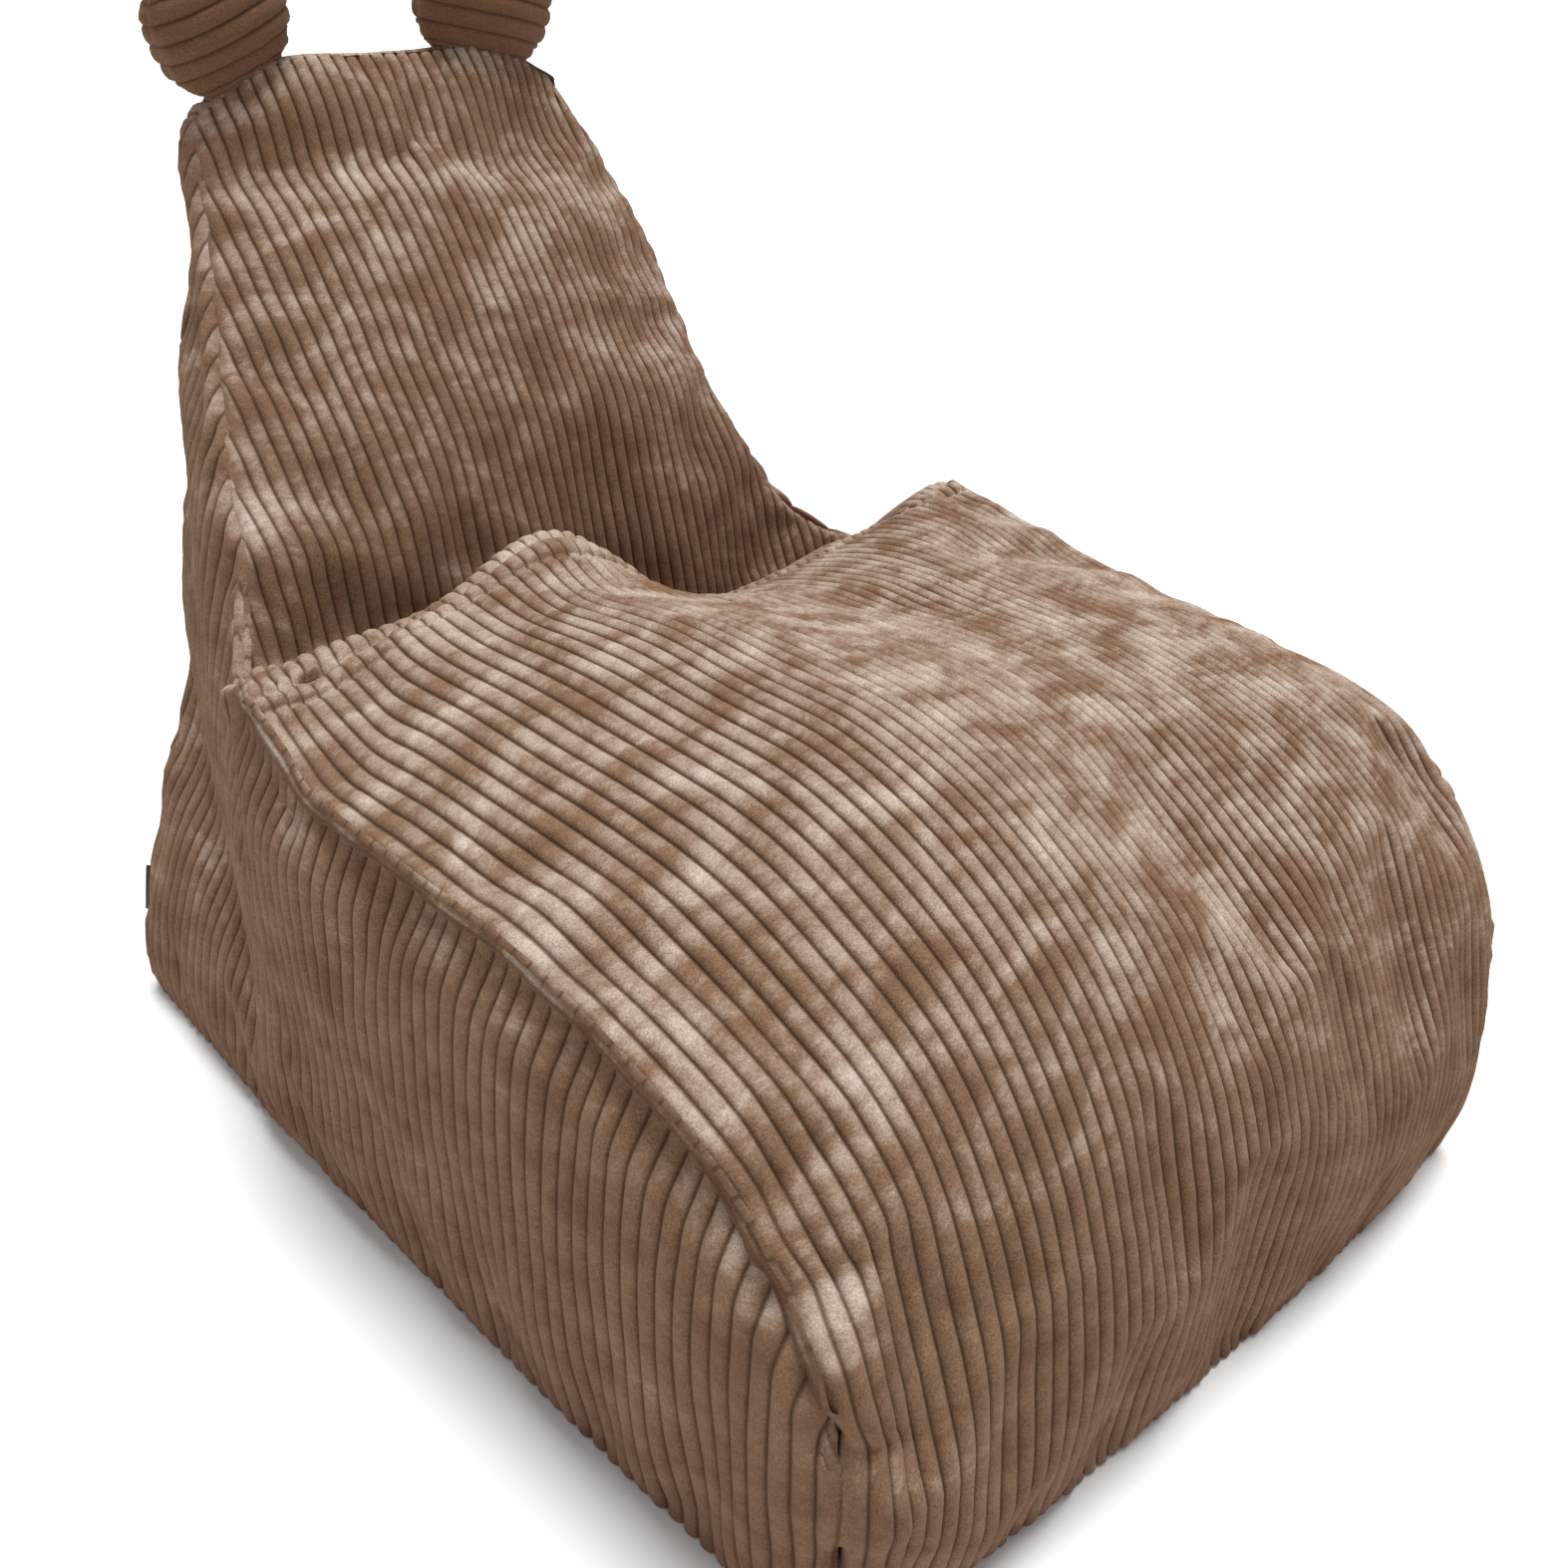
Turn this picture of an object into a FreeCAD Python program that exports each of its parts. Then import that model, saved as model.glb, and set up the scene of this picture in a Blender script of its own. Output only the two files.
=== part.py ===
# Child's bean bag lounger with two round ears: corduroy cover, inner liner, bead fill, ears, zips, label.
# Millimetres. +Z up, +X to the right seen from the front, the seat's front faces -Y.
# The origin is on the floor, under the middle of the whole object's box.
import FreeCAD, Part
import math
import os
import Sketcher
from FreeCAD import Placement, Rotation, Vector

os.makedirs("parts", exist_ok=True)
doc = FreeCAD.newDocument("BeanBagLounger")

# ---- driving dimensions -------------------------------------------------------------------------
driving = [
    # the bag's side outline, as (y, z) of its corners
    ("frontFoot", 389, "base's front edge ahead of the origin"),
    ("rearFoot", 303, "base's rear edge behind the origin"),
    ("frontReach", 397, "front face at the top, before it is rounded"),
    ("frontHeight", 262, "seat top's height at the front"),
    ("frontRound", 88, "radius of the roll from the seat top to the front"),
    ("ridgeBack", 107, "seat's rear edge behind the origin"),
    ("ridgeHeight", 318, "seat's rear edge above the floor"),
    ("creaseBack", 153, "crease between seat and backrest"),
    ("creaseHeight", 285, "the crease's height"),
    ("topFront", 357, "backrest's top edge, front side"),
    ("topRear", 381, "backrest's top edge, rear side"),
    ("topHeight", 578, "backrest's top edge above the floor"),
    # the bag seen from above, at three heights
    ("seatHalf", 282, "half width of the seat"),
    ("taperStart", 55, "where the sides start to draw in"),
    ("tailReach", 20, "how far the plan sections run past the rear face"),
    ("tailHalfFloor", 278, "half width of the tail at the floor"),
    ("tailHalfSeat", 191, "half width of the tail at seat level"),
    ("tailHalfTop", 138, "half width of the tail at the top"),
    ("topSection", 600, "height of the top plan section"),
    ("topSectionFront", 370, "front of the top plan section"),
    # layers
    ("cover", 3, "corduroy with its backing"),
    ("liner", 1, "woven liner"),
    # ears
    ("earOut", 97, "ear's centre from the middle"),
    ("earRadius", 56, "ear's radius"),
    ("earHalfThick", 26, "half thickness of the stuffed ear"),
    ("earLift", 23, "ear's centre above its hinge line"),
    ("earRoot", 12, "radius of the ear's gathered root"),
    ("earRootHalf", 40, "half length of the gathered root"),
    ("earGap", 1.5, "room between the root and the backrest's top edge"),
    # cover zip, across the rear panel
    ("zipHeight", 55, "cover zip above the floor"),
    ("zipHalf", 195, "half length of the cover zip"),
    ("zipSlot", 6.5, "half height of the slot between the rear panels"),
    ("zipSink", 1.6, "back of the cover zip's tapes, in from the panel's face"),
    ("tapeSpare", 4, "tape past each end of the coil"),
    ("stopLong", 3, "length of a zip's end stop"),
    ("tapeThick", 0.7, "zip tape"),
    ("coilHalf", 2.4, "half width of the closed coil"),
    ("coilThick", 1.9, "coil above the tape"),
    ("sliderHalf", 5, "half width of a slider"),
    ("sliderLong", 13, "length of a slider"),
    ("plateThick", 1.2, "slider's top plate"),
    ("runGap", 0.35, "running gap round the sliders and pins"),
    ("pullLong", 22, "length of the pull tab"),
    ("pullHalf", 3.1, "half width of the pull tab"),
    ("pullThick", 1.4, "thickness of the pull tab"),
    ("pullRim", 1.6, "metal round the pull tab's hole"),
    ("barRadius", 0.9, "slider's bar"),
    ("barLift", 2.7, "the bar's centre above the slider's plate"),
    ("lugThick", 1, "each lug that holds the bar"),
    ("lugHalf", 1.4, "half length of a lug along the zip's height"),
    ("lugSink", 0.4, "how far a lug goes into the plate"),
    # liner zip, in a recess of the liner's rear
    ("linerZipHeight", 420, "liner zip above the floor"),
    ("linerZipHalf", 110, "half length of the liner zip"),
    ("recessDeep", 7, "depth of the liner zip's recess"),
    ("recessHalf", 9, "half height of the recess"),
    # label in the rear left seam
    ("labelTall", 33, "label along the seam"),
    ("labelReach", 12, "label out of the seam"),
    ("labelThick", 1.2, "two layers of woven tape"),
    ("labelHeight", 70, "label's middle above the floor"),
    ("labelStart", 0.8, "where the label starts, out from the seam"),
    ("wallSpare", 30, "how far cutting blocks run past the bag"),
]
sheet = doc.addObject("Spreadsheet::Sheet", "Sizes")
for row, (alias, value, meaning) in enumerate(driving, start=1):
    sheet.set(f"A{row}", meaning)
    sheet.set(f"B{row}", str(value))
    sheet.setAlias(f"B{row}", alias)
doc.recompute()


def size(alias):
    """A driving dimension's value, for places worked out in code."""
    return float(sheet.get(alias))


def bind(thing, **expressions):
    """Bind properties to the sheet; size names are written bare, as in 'cover * 2'."""
    for prop, expression in expressions.items():
        thing.setExpression(prop.replace("__", "."), cells(expression))


def cells(expression):
    """Put the sheet's name before each alias in an expression."""
    words = []
    for word in expression.replace("(", " ( ").replace(")", " ) ").split():
        words.append("Sizes." + word if any(word == alias for alias, _, _ in driving) else word)
    return " ".join(words)


# ---- helpers ------------------------------------------------------------------------------------
sub_parts = {}


def keep(thing, name):
    """Mark an object as one of the part's pieces."""
    thing.Label = name
    sub_parts[name] = thing
    return thing


def add_sketch(body, name, plane, corners, height=None):
    """A closed outline in a body's own plane; each corner is a pair of expressions."""
    sketch = body.newObject("Sketcher::SketchObject", name)
    origin_plane = [f for f in body.Origin.OriginFeatures if f.Role == plane][0]
    sketch.AttachmentSupport = (origin_plane, [""])
    sketch.MapMode = "FlatFace"
    if height:
        bind(sketch, AttachmentOffset__Base__z=height)
    points = []
    for across, up in corners:
        points.append([float(sketch.evalExpression(cells(e))) for e in (across, up)])
    count = len(points)
    for i, (across, up) in enumerate(points):
        end = points[(i + 1) % count]
        sketch.addGeometry(Part.LineSegment(Vector(across, up, 0), Vector(end[0], end[1], 0)))
    for i in range(count):
        sketch.addConstraint(Sketcher.Constraint("Coincident", i, 2, (i + 1) % count, 1))
    for i, corner in enumerate(corners):
        for kind, letter, value, expression in zip(("DistanceX", "DistanceY"), "xy", points[i], corner):
            index = sketch.addConstraint(Sketcher.Constraint(kind, -1, 1, i, 1, value))
            sketch.renameConstraint(index, f"{letter}{i}")
            sketch.setExpression(f"Constraints.{letter}{i}", cells(expression))
    return sketch


def add_prism(name, plane, corners, length):
    """A body with one outline padded both ways from its plane."""
    body = doc.addObject("PartDesign::Body", name)
    sketch = add_sketch(body, name + "Outline", plane, corners)
    pad = body.newObject("PartDesign::Pad", name + "Pad")
    pad.Profile = sketch
    pad.Midplane = True
    bind(pad, Length=length)
    sketch.Visibility = False
    return body


def add_box(name, place, corner, **expressions):
    """A box whose corner is given in the frame of place; its sides are expressions."""
    box = doc.addObject("Part::Box", name)
    bind(box, **expressions)
    box.Placement = place.multiply(Placement(Vector(*corner), Rotation()))
    return box


def add_cylinder(name, place, centre, radius, length):
    """A cylinder along X, centred on a point given in the frame of place."""
    cylinder = doc.addObject("Part::Cylinder", name)
    bind(cylinder, Radius=radius, Height=length)
    half = float(cylinder.evalExpression(cells(length))) / 2
    start = Vector(*centre) - Vector(half, 0, 0)
    cylinder.Placement = place.multiply(Placement(start, Rotation(Vector(0, 1, 0), 90)))
    return cylinder


def cut(name, base, tool):
    result = doc.addObject("Part::Cut", name)
    result.Base = base
    result.Tool = tool
    return result


def common(name, first, second):
    result = doc.addObject("Part::Common", name)
    result.Base = first
    result.Tool = second
    return result


def fuse(name, *shapes):
    result = doc.addObject("Part::MultiFuse", name)
    result.Shapes = list(shapes)
    result.Refine = True
    return result


at_origin = Placement()
lean = math.degrees(math.atan2(size("topRear") - size("rearFoot"), size("topHeight")))


def on_rear_face(height):
    """A frame on the rear face: local X across, local Y out of the face, local Z up its slope."""
    back = size("rearFoot") + (size("topRear") - size("rearFoot")) * height / size("topHeight")
    return Placement(Vector(0, back, height), Rotation(Vector(1, 0, 0), -lean))


# ---- the bag's form -----------------------------------------------------------------------------
def side_form(name, inset):
    """The bag's side outline, every face moved in by inset, padded wider than the bag."""
    corners = [
        (f"0 - frontFoot + {inset}", inset),
        (f"rearFoot - {inset}", inset),
        (f"topRear - {inset}", f"topHeight - {inset}"),
        (f"topFront + {inset}", f"topHeight - {inset}"),
        (f"creaseBack + 0.24 * {inset}", f"creaseHeight - 1.38 * {inset}"),
        (f"ridgeBack - 0.28 * {inset}", f"ridgeHeight - 1.03 * {inset}"),
        (f"0 - frontReach + {inset}", f"frontHeight - {inset}"),
    ]
    body = add_prism(name, "YZ_Plane", corners, "seatHalf * 2 + 100")
    doc.recompute()
    block = body.Tip
    for number, edge in enumerate(block.Shape.Edges, start=1):
        middle = edge.CenterOfMass
        if edge.BoundBox.XLength > 100 and middle.y < -size("frontReach") + 10 and middle.z > 100:
            front_top = f"Edge{number}"
    roll = body.newObject("PartDesign::Fillet", name + "Roll")
    roll.Base = (block, [front_top])
    bind(roll, Radius=f"frontRound - {inset}")
    return body


def plan_form(name, inset):
    """The bag's form seen from above: a straight front and a tail that draws in as it rises."""
    front = add_box(
        name + "Front", at_origin, (0, 0, 0),
        Length=f"( seatHalf - {inset} ) * 2", Width="frontReach + 20 + taperStart",
        Height="ridgeHeight + 20",
    )
    bind(front, Placement__Base__x=f"0 - seatHalf + {inset}",
         Placement__Base__y="0 - frontReach - 20", Placement__Base__z="0 - 1")
    tail = doc.addObject("PartDesign::Body", name + "Tail")
    reach = "( topRear - rearFoot ) / topHeight"
    sections = []
    for label, height, front_half, front_edge, rear_half, rear_edge in (
        ("Floor", "0 - 1", "seatHalf", "taperStart", "tailHalfFloor", "rearFoot + tailReach"),
        ("Seat", "ridgeHeight", "seatHalf", "taperStart", "tailHalfSeat",
         f"rearFoot + tailReach + {reach} * ridgeHeight"),
        ("Top", "topSection", "tailHalfTop", "topSectionFront", "tailHalfTop",
         f"rearFoot + tailReach + {reach} * topSection"),
    ):
        corners = [
            (f"0 - {front_half} + {inset}", front_edge), (f"{front_half} - {inset}", front_edge),
            (f"{rear_half} - {inset}", rear_edge), (f"0 - {rear_half} + {inset}", rear_edge),
        ]
        sections.append(add_sketch(tail, name + label, "XY_Plane", corners, height))
    loft = tail.newObject("PartDesign::AdditiveLoft", name + "Loft")
    loft.Profile = sections[0]
    loft.Sections = sections[1:]
    loft.Ruled = True
    return fuse(name, front, tail)


both_layers = "( cover + liner )"
side_outer, plan_outer = side_form("SideOuter", "0"), plan_form("PlanOuter", "0")
side_cover, plan_cover = side_form("SideCover", "cover"), plan_form("PlanCover", "cover")
side_liner, plan_liner = side_form("SideLiner", both_layers), plan_form("PlanLiner", both_layers)

# prisms that part the wrap into panels; their corners meet on the seams' own lines
seat_zone = add_prism("SeatZone", "YZ_Plane", [
    ("0 - frontReach - 30", "0 - 1"), ("ridgeBack", "0 - 1"), ("creaseBack + 15", "creaseHeight - 60"),
    ("creaseBack", "creaseHeight"), ("creaseBack", "ridgeHeight + 60"),
    ("0 - frontReach - 30", "ridgeHeight + 60"),
], "seatHalf * 2 + 80")
back_zone = add_prism("BackZone", "YZ_Plane", [
    ("creaseBack", "creaseHeight"), ("creaseBack + 15", "creaseHeight - 60"),
    ("topFront + 12", "topHeight - 30"), ("topFront + 12", "topHeight + 30"),
    ("creaseBack", "topHeight + 30"),
], "seatHalf * 2 + 80")
span = "( seatHalf + wallSpare ) * 2"
left_half = add_box("LeftHalf", at_origin, (-size("seatHalf") - size("wallSpare"), -500, -10),
                    Length="seatHalf + wallSpare", Width="1000", Height="topHeight + 100")
floor_slab = add_box("FloorSlab", at_origin, (-size("seatHalf") - size("wallSpare"), -500, -5),
                     Length=span, Width="1000", Height="cover + 5")
liner_slab = add_box("LinerSlab", at_origin, (-size("seatHalf") - size("wallSpare"), -500, -5),
                     Length=span, Width="1000", Height=f"{both_layers} + 5")

# ---- cover --------------------------------------------------------------------------------------
outer_block = common("OuterBlock", side_outer, plan_outer)
keep(common("BasePanel", outer_block, floor_slab), "base_panel")
wall_block = cut("WallBlock", outer_block, floor_slab)
side_walls = cut("SideWalls", wall_block, plan_cover)
keep(common("LeftSidePanel", side_walls, left_half), "left_side_panel")
keep(cut("RightSidePanel", side_walls, left_half), "right_side_panel")
wrap = cut("Wrap", common("WrapBlock", wall_block, plan_cover), side_cover)
keep(common("SeatPanel", wrap, seat_zone), "seat_panel")
keep(common("BackrestPanel", wrap, back_zone), "backrest_panel")
rear_wrap = cut("RearWrap", cut("WrapPastSeat", wrap, seat_zone), back_zone)

# the rear panel is two pieces with the zip's slot between them
zip_place = on_rear_face(size("zipHeight"))
past_side = -size("seatHalf") - size("wallSpare")
under_zip = -size("zipHeight") - size("wallSpare")
below_slot = add_box("BelowSlot", zip_place, (past_side, -60, under_zip - size("zipSlot")),
                     Length=span, Width="90", Height="zipHeight + wallSpare")
slot_top = add_box("UpToSlotTop", zip_place, (past_side, -60, under_zip),
                   Length=span, Width="90", Height="zipHeight + wallSpare + zipSlot")
keep(common("RearPanelLower", rear_wrap, below_slot), "rear_panel_lower")
slot_ends = cut("SlotEnds", add_box(
    "SlotBand", zip_place, (past_side, -60, -size("zipSlot")),
    Length=span, Width="90", Height="zipSlot * 2",
), add_box(
    "SlotOpen", zip_place, (-size("zipHalf") - size("tapeSpare"), -60, -size("zipSlot") - 1),
    Length="( zipHalf + tapeSpare ) * 2", Width="90", Height="zipSlot * 2 + 2",
))
rear_above = cut("RearAbove", rear_wrap, slot_top)
rear_slot_ends = common("RearSlotEnds", rear_wrap, slot_ends)
keep(fuse("RearPanelUpper", rear_above, rear_slot_ends), "rear_panel_upper")

# ---- liner --------------------------------------------------------------------------------------
under_cover = Placement(Vector(0, -size("cover"), 0), Rotation())
liner_place = on_rear_face(size("linerZipHeight")).multiply(under_cover)
recess_long = size("linerZipHalf") + 8
recess = add_box("Recess", liner_place, (-recess_long, -size("recessDeep"), -size("recessHalf")),
                 Length="( linerZipHalf + 8 ) * 2", Width="recessDeep + 20", Height="recessHalf * 2")
recess_shell = add_box(
    "RecessShell", liner_place,
    (-recess_long - size("liner"), -size("recessDeep") - size("liner"),
     -size("recessHalf") - size("liner")),
    Length="( linerZipHalf + 8 + liner ) * 2", Width="recessDeep + liner + 20",
    Height="( recessHalf + liner ) * 2",
)
liner_block = common("LinerBlock", side_cover, plan_cover)
keep(common("LinerBasePanel", liner_block, liner_slab), "liner_base_panel")
liner_walls = cut("LinerWalls", liner_block, liner_slab)
liner_sides = cut("LinerSides", liner_walls, plan_liner)
keep(common("LinerLeftPanel", liner_sides, left_half), "liner_left_panel")
keep(cut("LinerRightPanel", liner_sides, left_half), "liner_right_panel")
liner_core = common("LinerCore", liner_walls, plan_liner)
liner_wrap = cut("LinerWrap", liner_core, side_liner)
keep(common("LinerSeatStrip", liner_wrap, seat_zone), "liner_seat_strip")
keep(common("LinerBackStrip", liner_wrap, back_zone), "liner_backrest_strip")
liner_rear = cut("LinerRear", cut("LinerPastSeat", liner_wrap, seat_zone), back_zone)
recess_wall = common("RecessWall", cut("RecessTub", recess_shell, recess), liner_core)
keep(fuse("LinerRearStrip", cut("LinerRearOpen", liner_rear, recess_shell), recess_wall), "liner_rear_strip")
fill_block = common("FillBlock", side_liner, plan_liner)
keep(cut("BeadFill", fill_block, recess_shell), "bead_fill")


# ---- ears ---------------------------------------------------------------------------------------
ear_back = (size("topFront") + size("topRear")) / 2
ear_hinge = size("topHeight") + size("earGap") + size("earRoot")


def ear_form(name, centre_x, inset):
    """A stuffed disc cut level at its hinge line, on a round root that turns in place."""
    disc = doc.addObject("Part::Ellipsoid", name + "Disc")
    bind(disc, Radius1=f"earRadius - {inset}", Radius2=f"earRadius - {inset}",
         Radius3=f"earHalfThick - {inset}")
    disc.Placement = Placement(Vector(centre_x, ear_back, ear_hinge + size("earLift")), Rotation())
    hinge_place = Placement(Vector(centre_x, ear_back, ear_hinge), Rotation())
    above = add_box(name + "Above", hinge_place, (-2 * size("earRadius"), -2 * size("earRadius"), 0),
                    Length="earRadius * 4", Width="earRadius * 4", Height="earRadius * 4")
    bind(above, Placement__Base__z=f"topHeight + earGap + earRoot + {inset}")
    root = add_cylinder(name + "Root", at_origin, (centre_x, ear_back, ear_hinge),
                        f"earRoot - {inset}", f"( earRootHalf - {inset} ) * 2")
    return fuse(name, common(name + "Cap", disc, above), root)


for hand, side in (("left", -1), ("right", 1)):
    ear_x = side * size("earOut")
    name = hand.capitalize() + "Ear"
    outer = ear_form(name + "Outer", ear_x, "0")
    inner = ear_form(name + "Inner", ear_x, "cover")
    ear_reach = 2 * size("earRadius")
    ear_front_half = add_box(name + "FrontHalf", Placement(Vector(ear_x, ear_back, 0), Rotation()),
                             (-ear_reach, -ear_reach, 0),
                             Length="earRadius * 4", Width="earRadius * 2",
                             Height="topHeight + earRadius * 4")
    ear_shell = cut(name + "Shell", outer, inner)
    keep(common(name + "Front", ear_shell, ear_front_half), hand + "_ear_front")
    keep(cut(name + "Back", ear_shell, ear_front_half), hand + "_ear_back")
    keep(inner, hand + "_ear_fill")


# ---- zips ---------------------------------------------------------------------------------------
def add_zip(name, node, place, floor, half):
    """Two tapes and two coil halves lying on a floor that is this far in from the panel's face."""
    half_length = size(half)
    coil_floor = floor + size("tapeThick")
    for hand, sign in (("upper", 1), ("lower", -1)):
        tape = add_box(name + hand.capitalize() + "Tape", place,
                       (-half_length - size("tapeSpare"), floor, 0 if sign > 0 else -size("zipSlot")),
                       Length=f"( {half} + tapeSpare ) * 2", Width="tapeThick", Height="zipSlot")
        keep(tape, f"{node}_{hand}_tape")
        coil = add_box(name + hand.capitalize() + "Coil", place,
                       (-half_length, coil_floor, 0 if sign > 0 else -size("coilHalf")),
                       Length=f"{half} * 2", Width="coilThick", Height="coilHalf")
        keep(coil, f"{node}_{hand}_coil")
    for hand, start in (("left", -half_length - size("stopLong")), ("right", half_length)):
        stop = add_box(name + hand.capitalize() + "Stop", place, (start, coil_floor, -size("coilHalf") - 1),
                       Length="stopLong", Width="coilThick + 0.6", Height="coilHalf * 2 + 2")
        keep(stop, f"{node}_{hand}_stop")


def slider_body(name, place, coil_floor):
    """A saddle that rides over the coil: a padded U section, its long edges rounded."""
    body = doc.addObject("PartDesign::Body", name)
    low, ceiling, top = "runGap", "coilThick + runGap", "coilThick + runGap + plateThick"
    outside, channel = "sliderHalf", "( coilHalf + runGap )"
    corners = [
        (low, f"0 - {outside}"), (top, f"0 - {outside}"), (top, outside), (low, outside),
        (low, channel), (ceiling, channel), (ceiling, f"0 - {channel}"), (low, f"0 - {channel}"),
    ]
    sketch = add_sketch(body, name + "Section", "YZ_Plane", corners)
    pad = body.newObject("PartDesign::Pad", name + "Saddle")
    pad.Profile = sketch
    pad.Midplane = True
    bind(pad, Length="sliderLong")
    doc.recompute()
    long_edges = []
    for number, edge in enumerate(pad.Shape.Edges, start=1):
        middle = edge.CenterOfMass
        outer = abs(middle.z) > size("sliderHalf") - 0.1
        if edge.BoundBox.XLength > 5 and middle.y > size("coilThick") + 1 and outer:
            long_edges.append(f"Edge{number}")
    rounded = body.newObject("PartDesign::Fillet", name + "Rounded")
    rounded.Base = (pad, long_edges)
    rounded.Radius = 0.8
    body.Placement = place.multiply(Placement(Vector(0, coil_floor, 0), Rotation()))
    return body


tape_floor = -size("zipSink")
add_zip("CoverZip", "cover_zip", zip_place, tape_floor, "zipHalf")
slider_start = -size("zipHalf") + size("sliderLong") / 2 + 1
slider_place = zip_place.multiply(Placement(Vector(slider_start, 0, 0), Rotation()))
coil_base = tape_floor + size("tapeThick")
saddle = slider_body("CoverZipSaddle", slider_place, coil_base)
slider_top = coil_base + size("coilThick") + size("runGap") + size("plateThick")
bar_out = slider_top + size("barLift")
lug_inside = size("pullHalf") + size("runGap")
lugs = [
    add_box(f"SliderLug{i}", slider_place, (x, slider_top - size("lugSink"), -size("lugHalf")),
            Length="lugThick", Width="lugSink + barLift + barRadius + 0.3", Height="lugHalf * 2")
    for i, x in enumerate((-lug_inside - size("lugThick"), lug_inside), start=1)
]
bar = add_cylinder("SliderBar", slider_place, (0, bar_out, 0), "barRadius", "( pullHalf + runGap ) * 2 + 1")
keep(fuse("CoverZipSlider", saddle, bar, *lugs), "cover_zip_slider")

# the pull tab hangs straight down from the slider's bar
bar_centre = slider_place.multVec(Vector(0, bar_out, 0))
hang = Placement(bar_centre, Rotation())
eye = add_cylinder("PullEye", hang, (0, 0, 0), "barRadius + runGap + 1", "pullHalf * 2")
tongue = add_box("PullTongue", hang, (-size("pullHalf"), -size("pullThick") / 2, -size("pullLong")),
                 Length="pullHalf * 2", Width="pullThick", Height="pullLong")
eye_hole = add_cylinder("PullEyeHole", hang, (0, 0, 0), "barRadius + runGap", "pullHalf * 2 + 4")
grip_hole = doc.addObject("Part::Cylinder", "PullGripHole")
bind(grip_hole, Radius="pullHalf - pullRim", Height="pullThick + 4")
hole_start = Vector(0, size("pullThick") / 2 + 2, -size("pullLong") + size("pullHalf"))
grip_hole.Placement = hang.multiply(Placement(hole_start, Rotation(Vector(1, 0, 0), 90)))
pull_blank = fuse("PullBlank", eye, tongue)
keep(cut("CoverZipPuller", cut("PullDrilled", pull_blank, eye_hole), grip_hole), "cover_zip_puller")

# the liner's zip lies on the recess's floor and has a slider with no tab
liner_floor = -size("recessDeep")
add_zip("LinerZip", "liner_zip", liner_place, liner_floor, "linerZipHalf")
liner_slider_start = -size("linerZipHalf") + size("sliderLong") / 2 + 1
liner_slider_place = liner_place.multiply(Placement(Vector(liner_slider_start, 0, 0), Rotation()))
keep(slider_body("LinerZipSlider", liner_slider_place, liner_floor + size("tapeThick")), "liner_zip_slider")


# ---- label --------------------------------------------------------------------------------------
def rear_corner(height):
    """The rear left seam at a height: where the tail's ruled side meets the rear face."""
    share = (height + 1) / (size("ridgeHeight") + 1)
    slope = (size("topRear") - size("rearFoot")) / size("topHeight")
    tail_half = size("tailHalfFloor") + (size("tailHalfSeat") - size("tailHalfFloor")) * share
    tail_back = size("rearFoot") + size("tailReach") + slope * size("ridgeHeight") * share
    back = size("rearFoot") + slope * height
    along = (back - size("taperStart")) / (tail_back - size("taperStart"))
    return Vector(-(size("seatHalf") + (tail_half - size("seatHalf")) * along), back, height)


label_root = rear_corner(size("labelHeight"))
seam_line = (rear_corner(size("labelHeight") + 20) - rear_corner(size("labelHeight") - 20)).normalize()
outward = Vector(-1, 1, 0).normalize()
outward = (outward - seam_line * outward.dot(seam_line)).normalize()
label_turn = Rotation(outward, Vector(), seam_line, "XZY")
label_place = Placement(label_root + outward * size("labelStart"), label_turn)
label = add_prism("SideLabel", "XY_Plane", [
    ("0", "0 - labelThick / 2"), ("labelReach - labelThick / 2", "0 - labelThick / 2"),
    ("labelReach", "0"), ("labelReach - labelThick / 2", "labelThick / 2"), ("0", "labelThick / 2"),
], "labelTall")
label.Placement = label_place
keep(label, "side_label")

# ---- check and write ----------------------------------------------------------------------------
doc.recompute()
for thing in doc.Objects:
    if "Invalid" in thing.State or "Error" in thing.State:
        raise RuntimeError(f"{thing.Name} failed: {thing.State}")
box = FreeCAD.BoundBox()
for name, thing in sub_parts.items():
    shape = thing.Shape
    if shape.isNull() or not shape.isValid() or not shape.Solids:
        raise RuntimeError(f"{name} has no valid solid")
    shape.exportStep(f"parts/{name}.step")
    shape_box = shape.optimalBoundingBox(True)
    box.add(shape_box)
    print(f"{name:24s} solids {len(shape.Solids)}  volume {shape.Volume / 1000:9.2f} cm3")
print("box", [round(v, 1) for v in (box.XMin, box.XMax, box.YMin, box.YMax, box.ZMin, box.ZMax)])
print("ear hinge line at y, z:", ear_back, ear_hinge)
print("pull tab's bar at:", bar_centre)
print("label's seam through:", label_place.Base, "along:", seam_line)
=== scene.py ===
# Child's bean bag lounger in wide-wale corduroy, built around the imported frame.
# Metres, +Z up, the front faces -Y.
import math
import bmesh
import bpy
import numpy as np
from mathutils import Matrix, Vector


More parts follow.
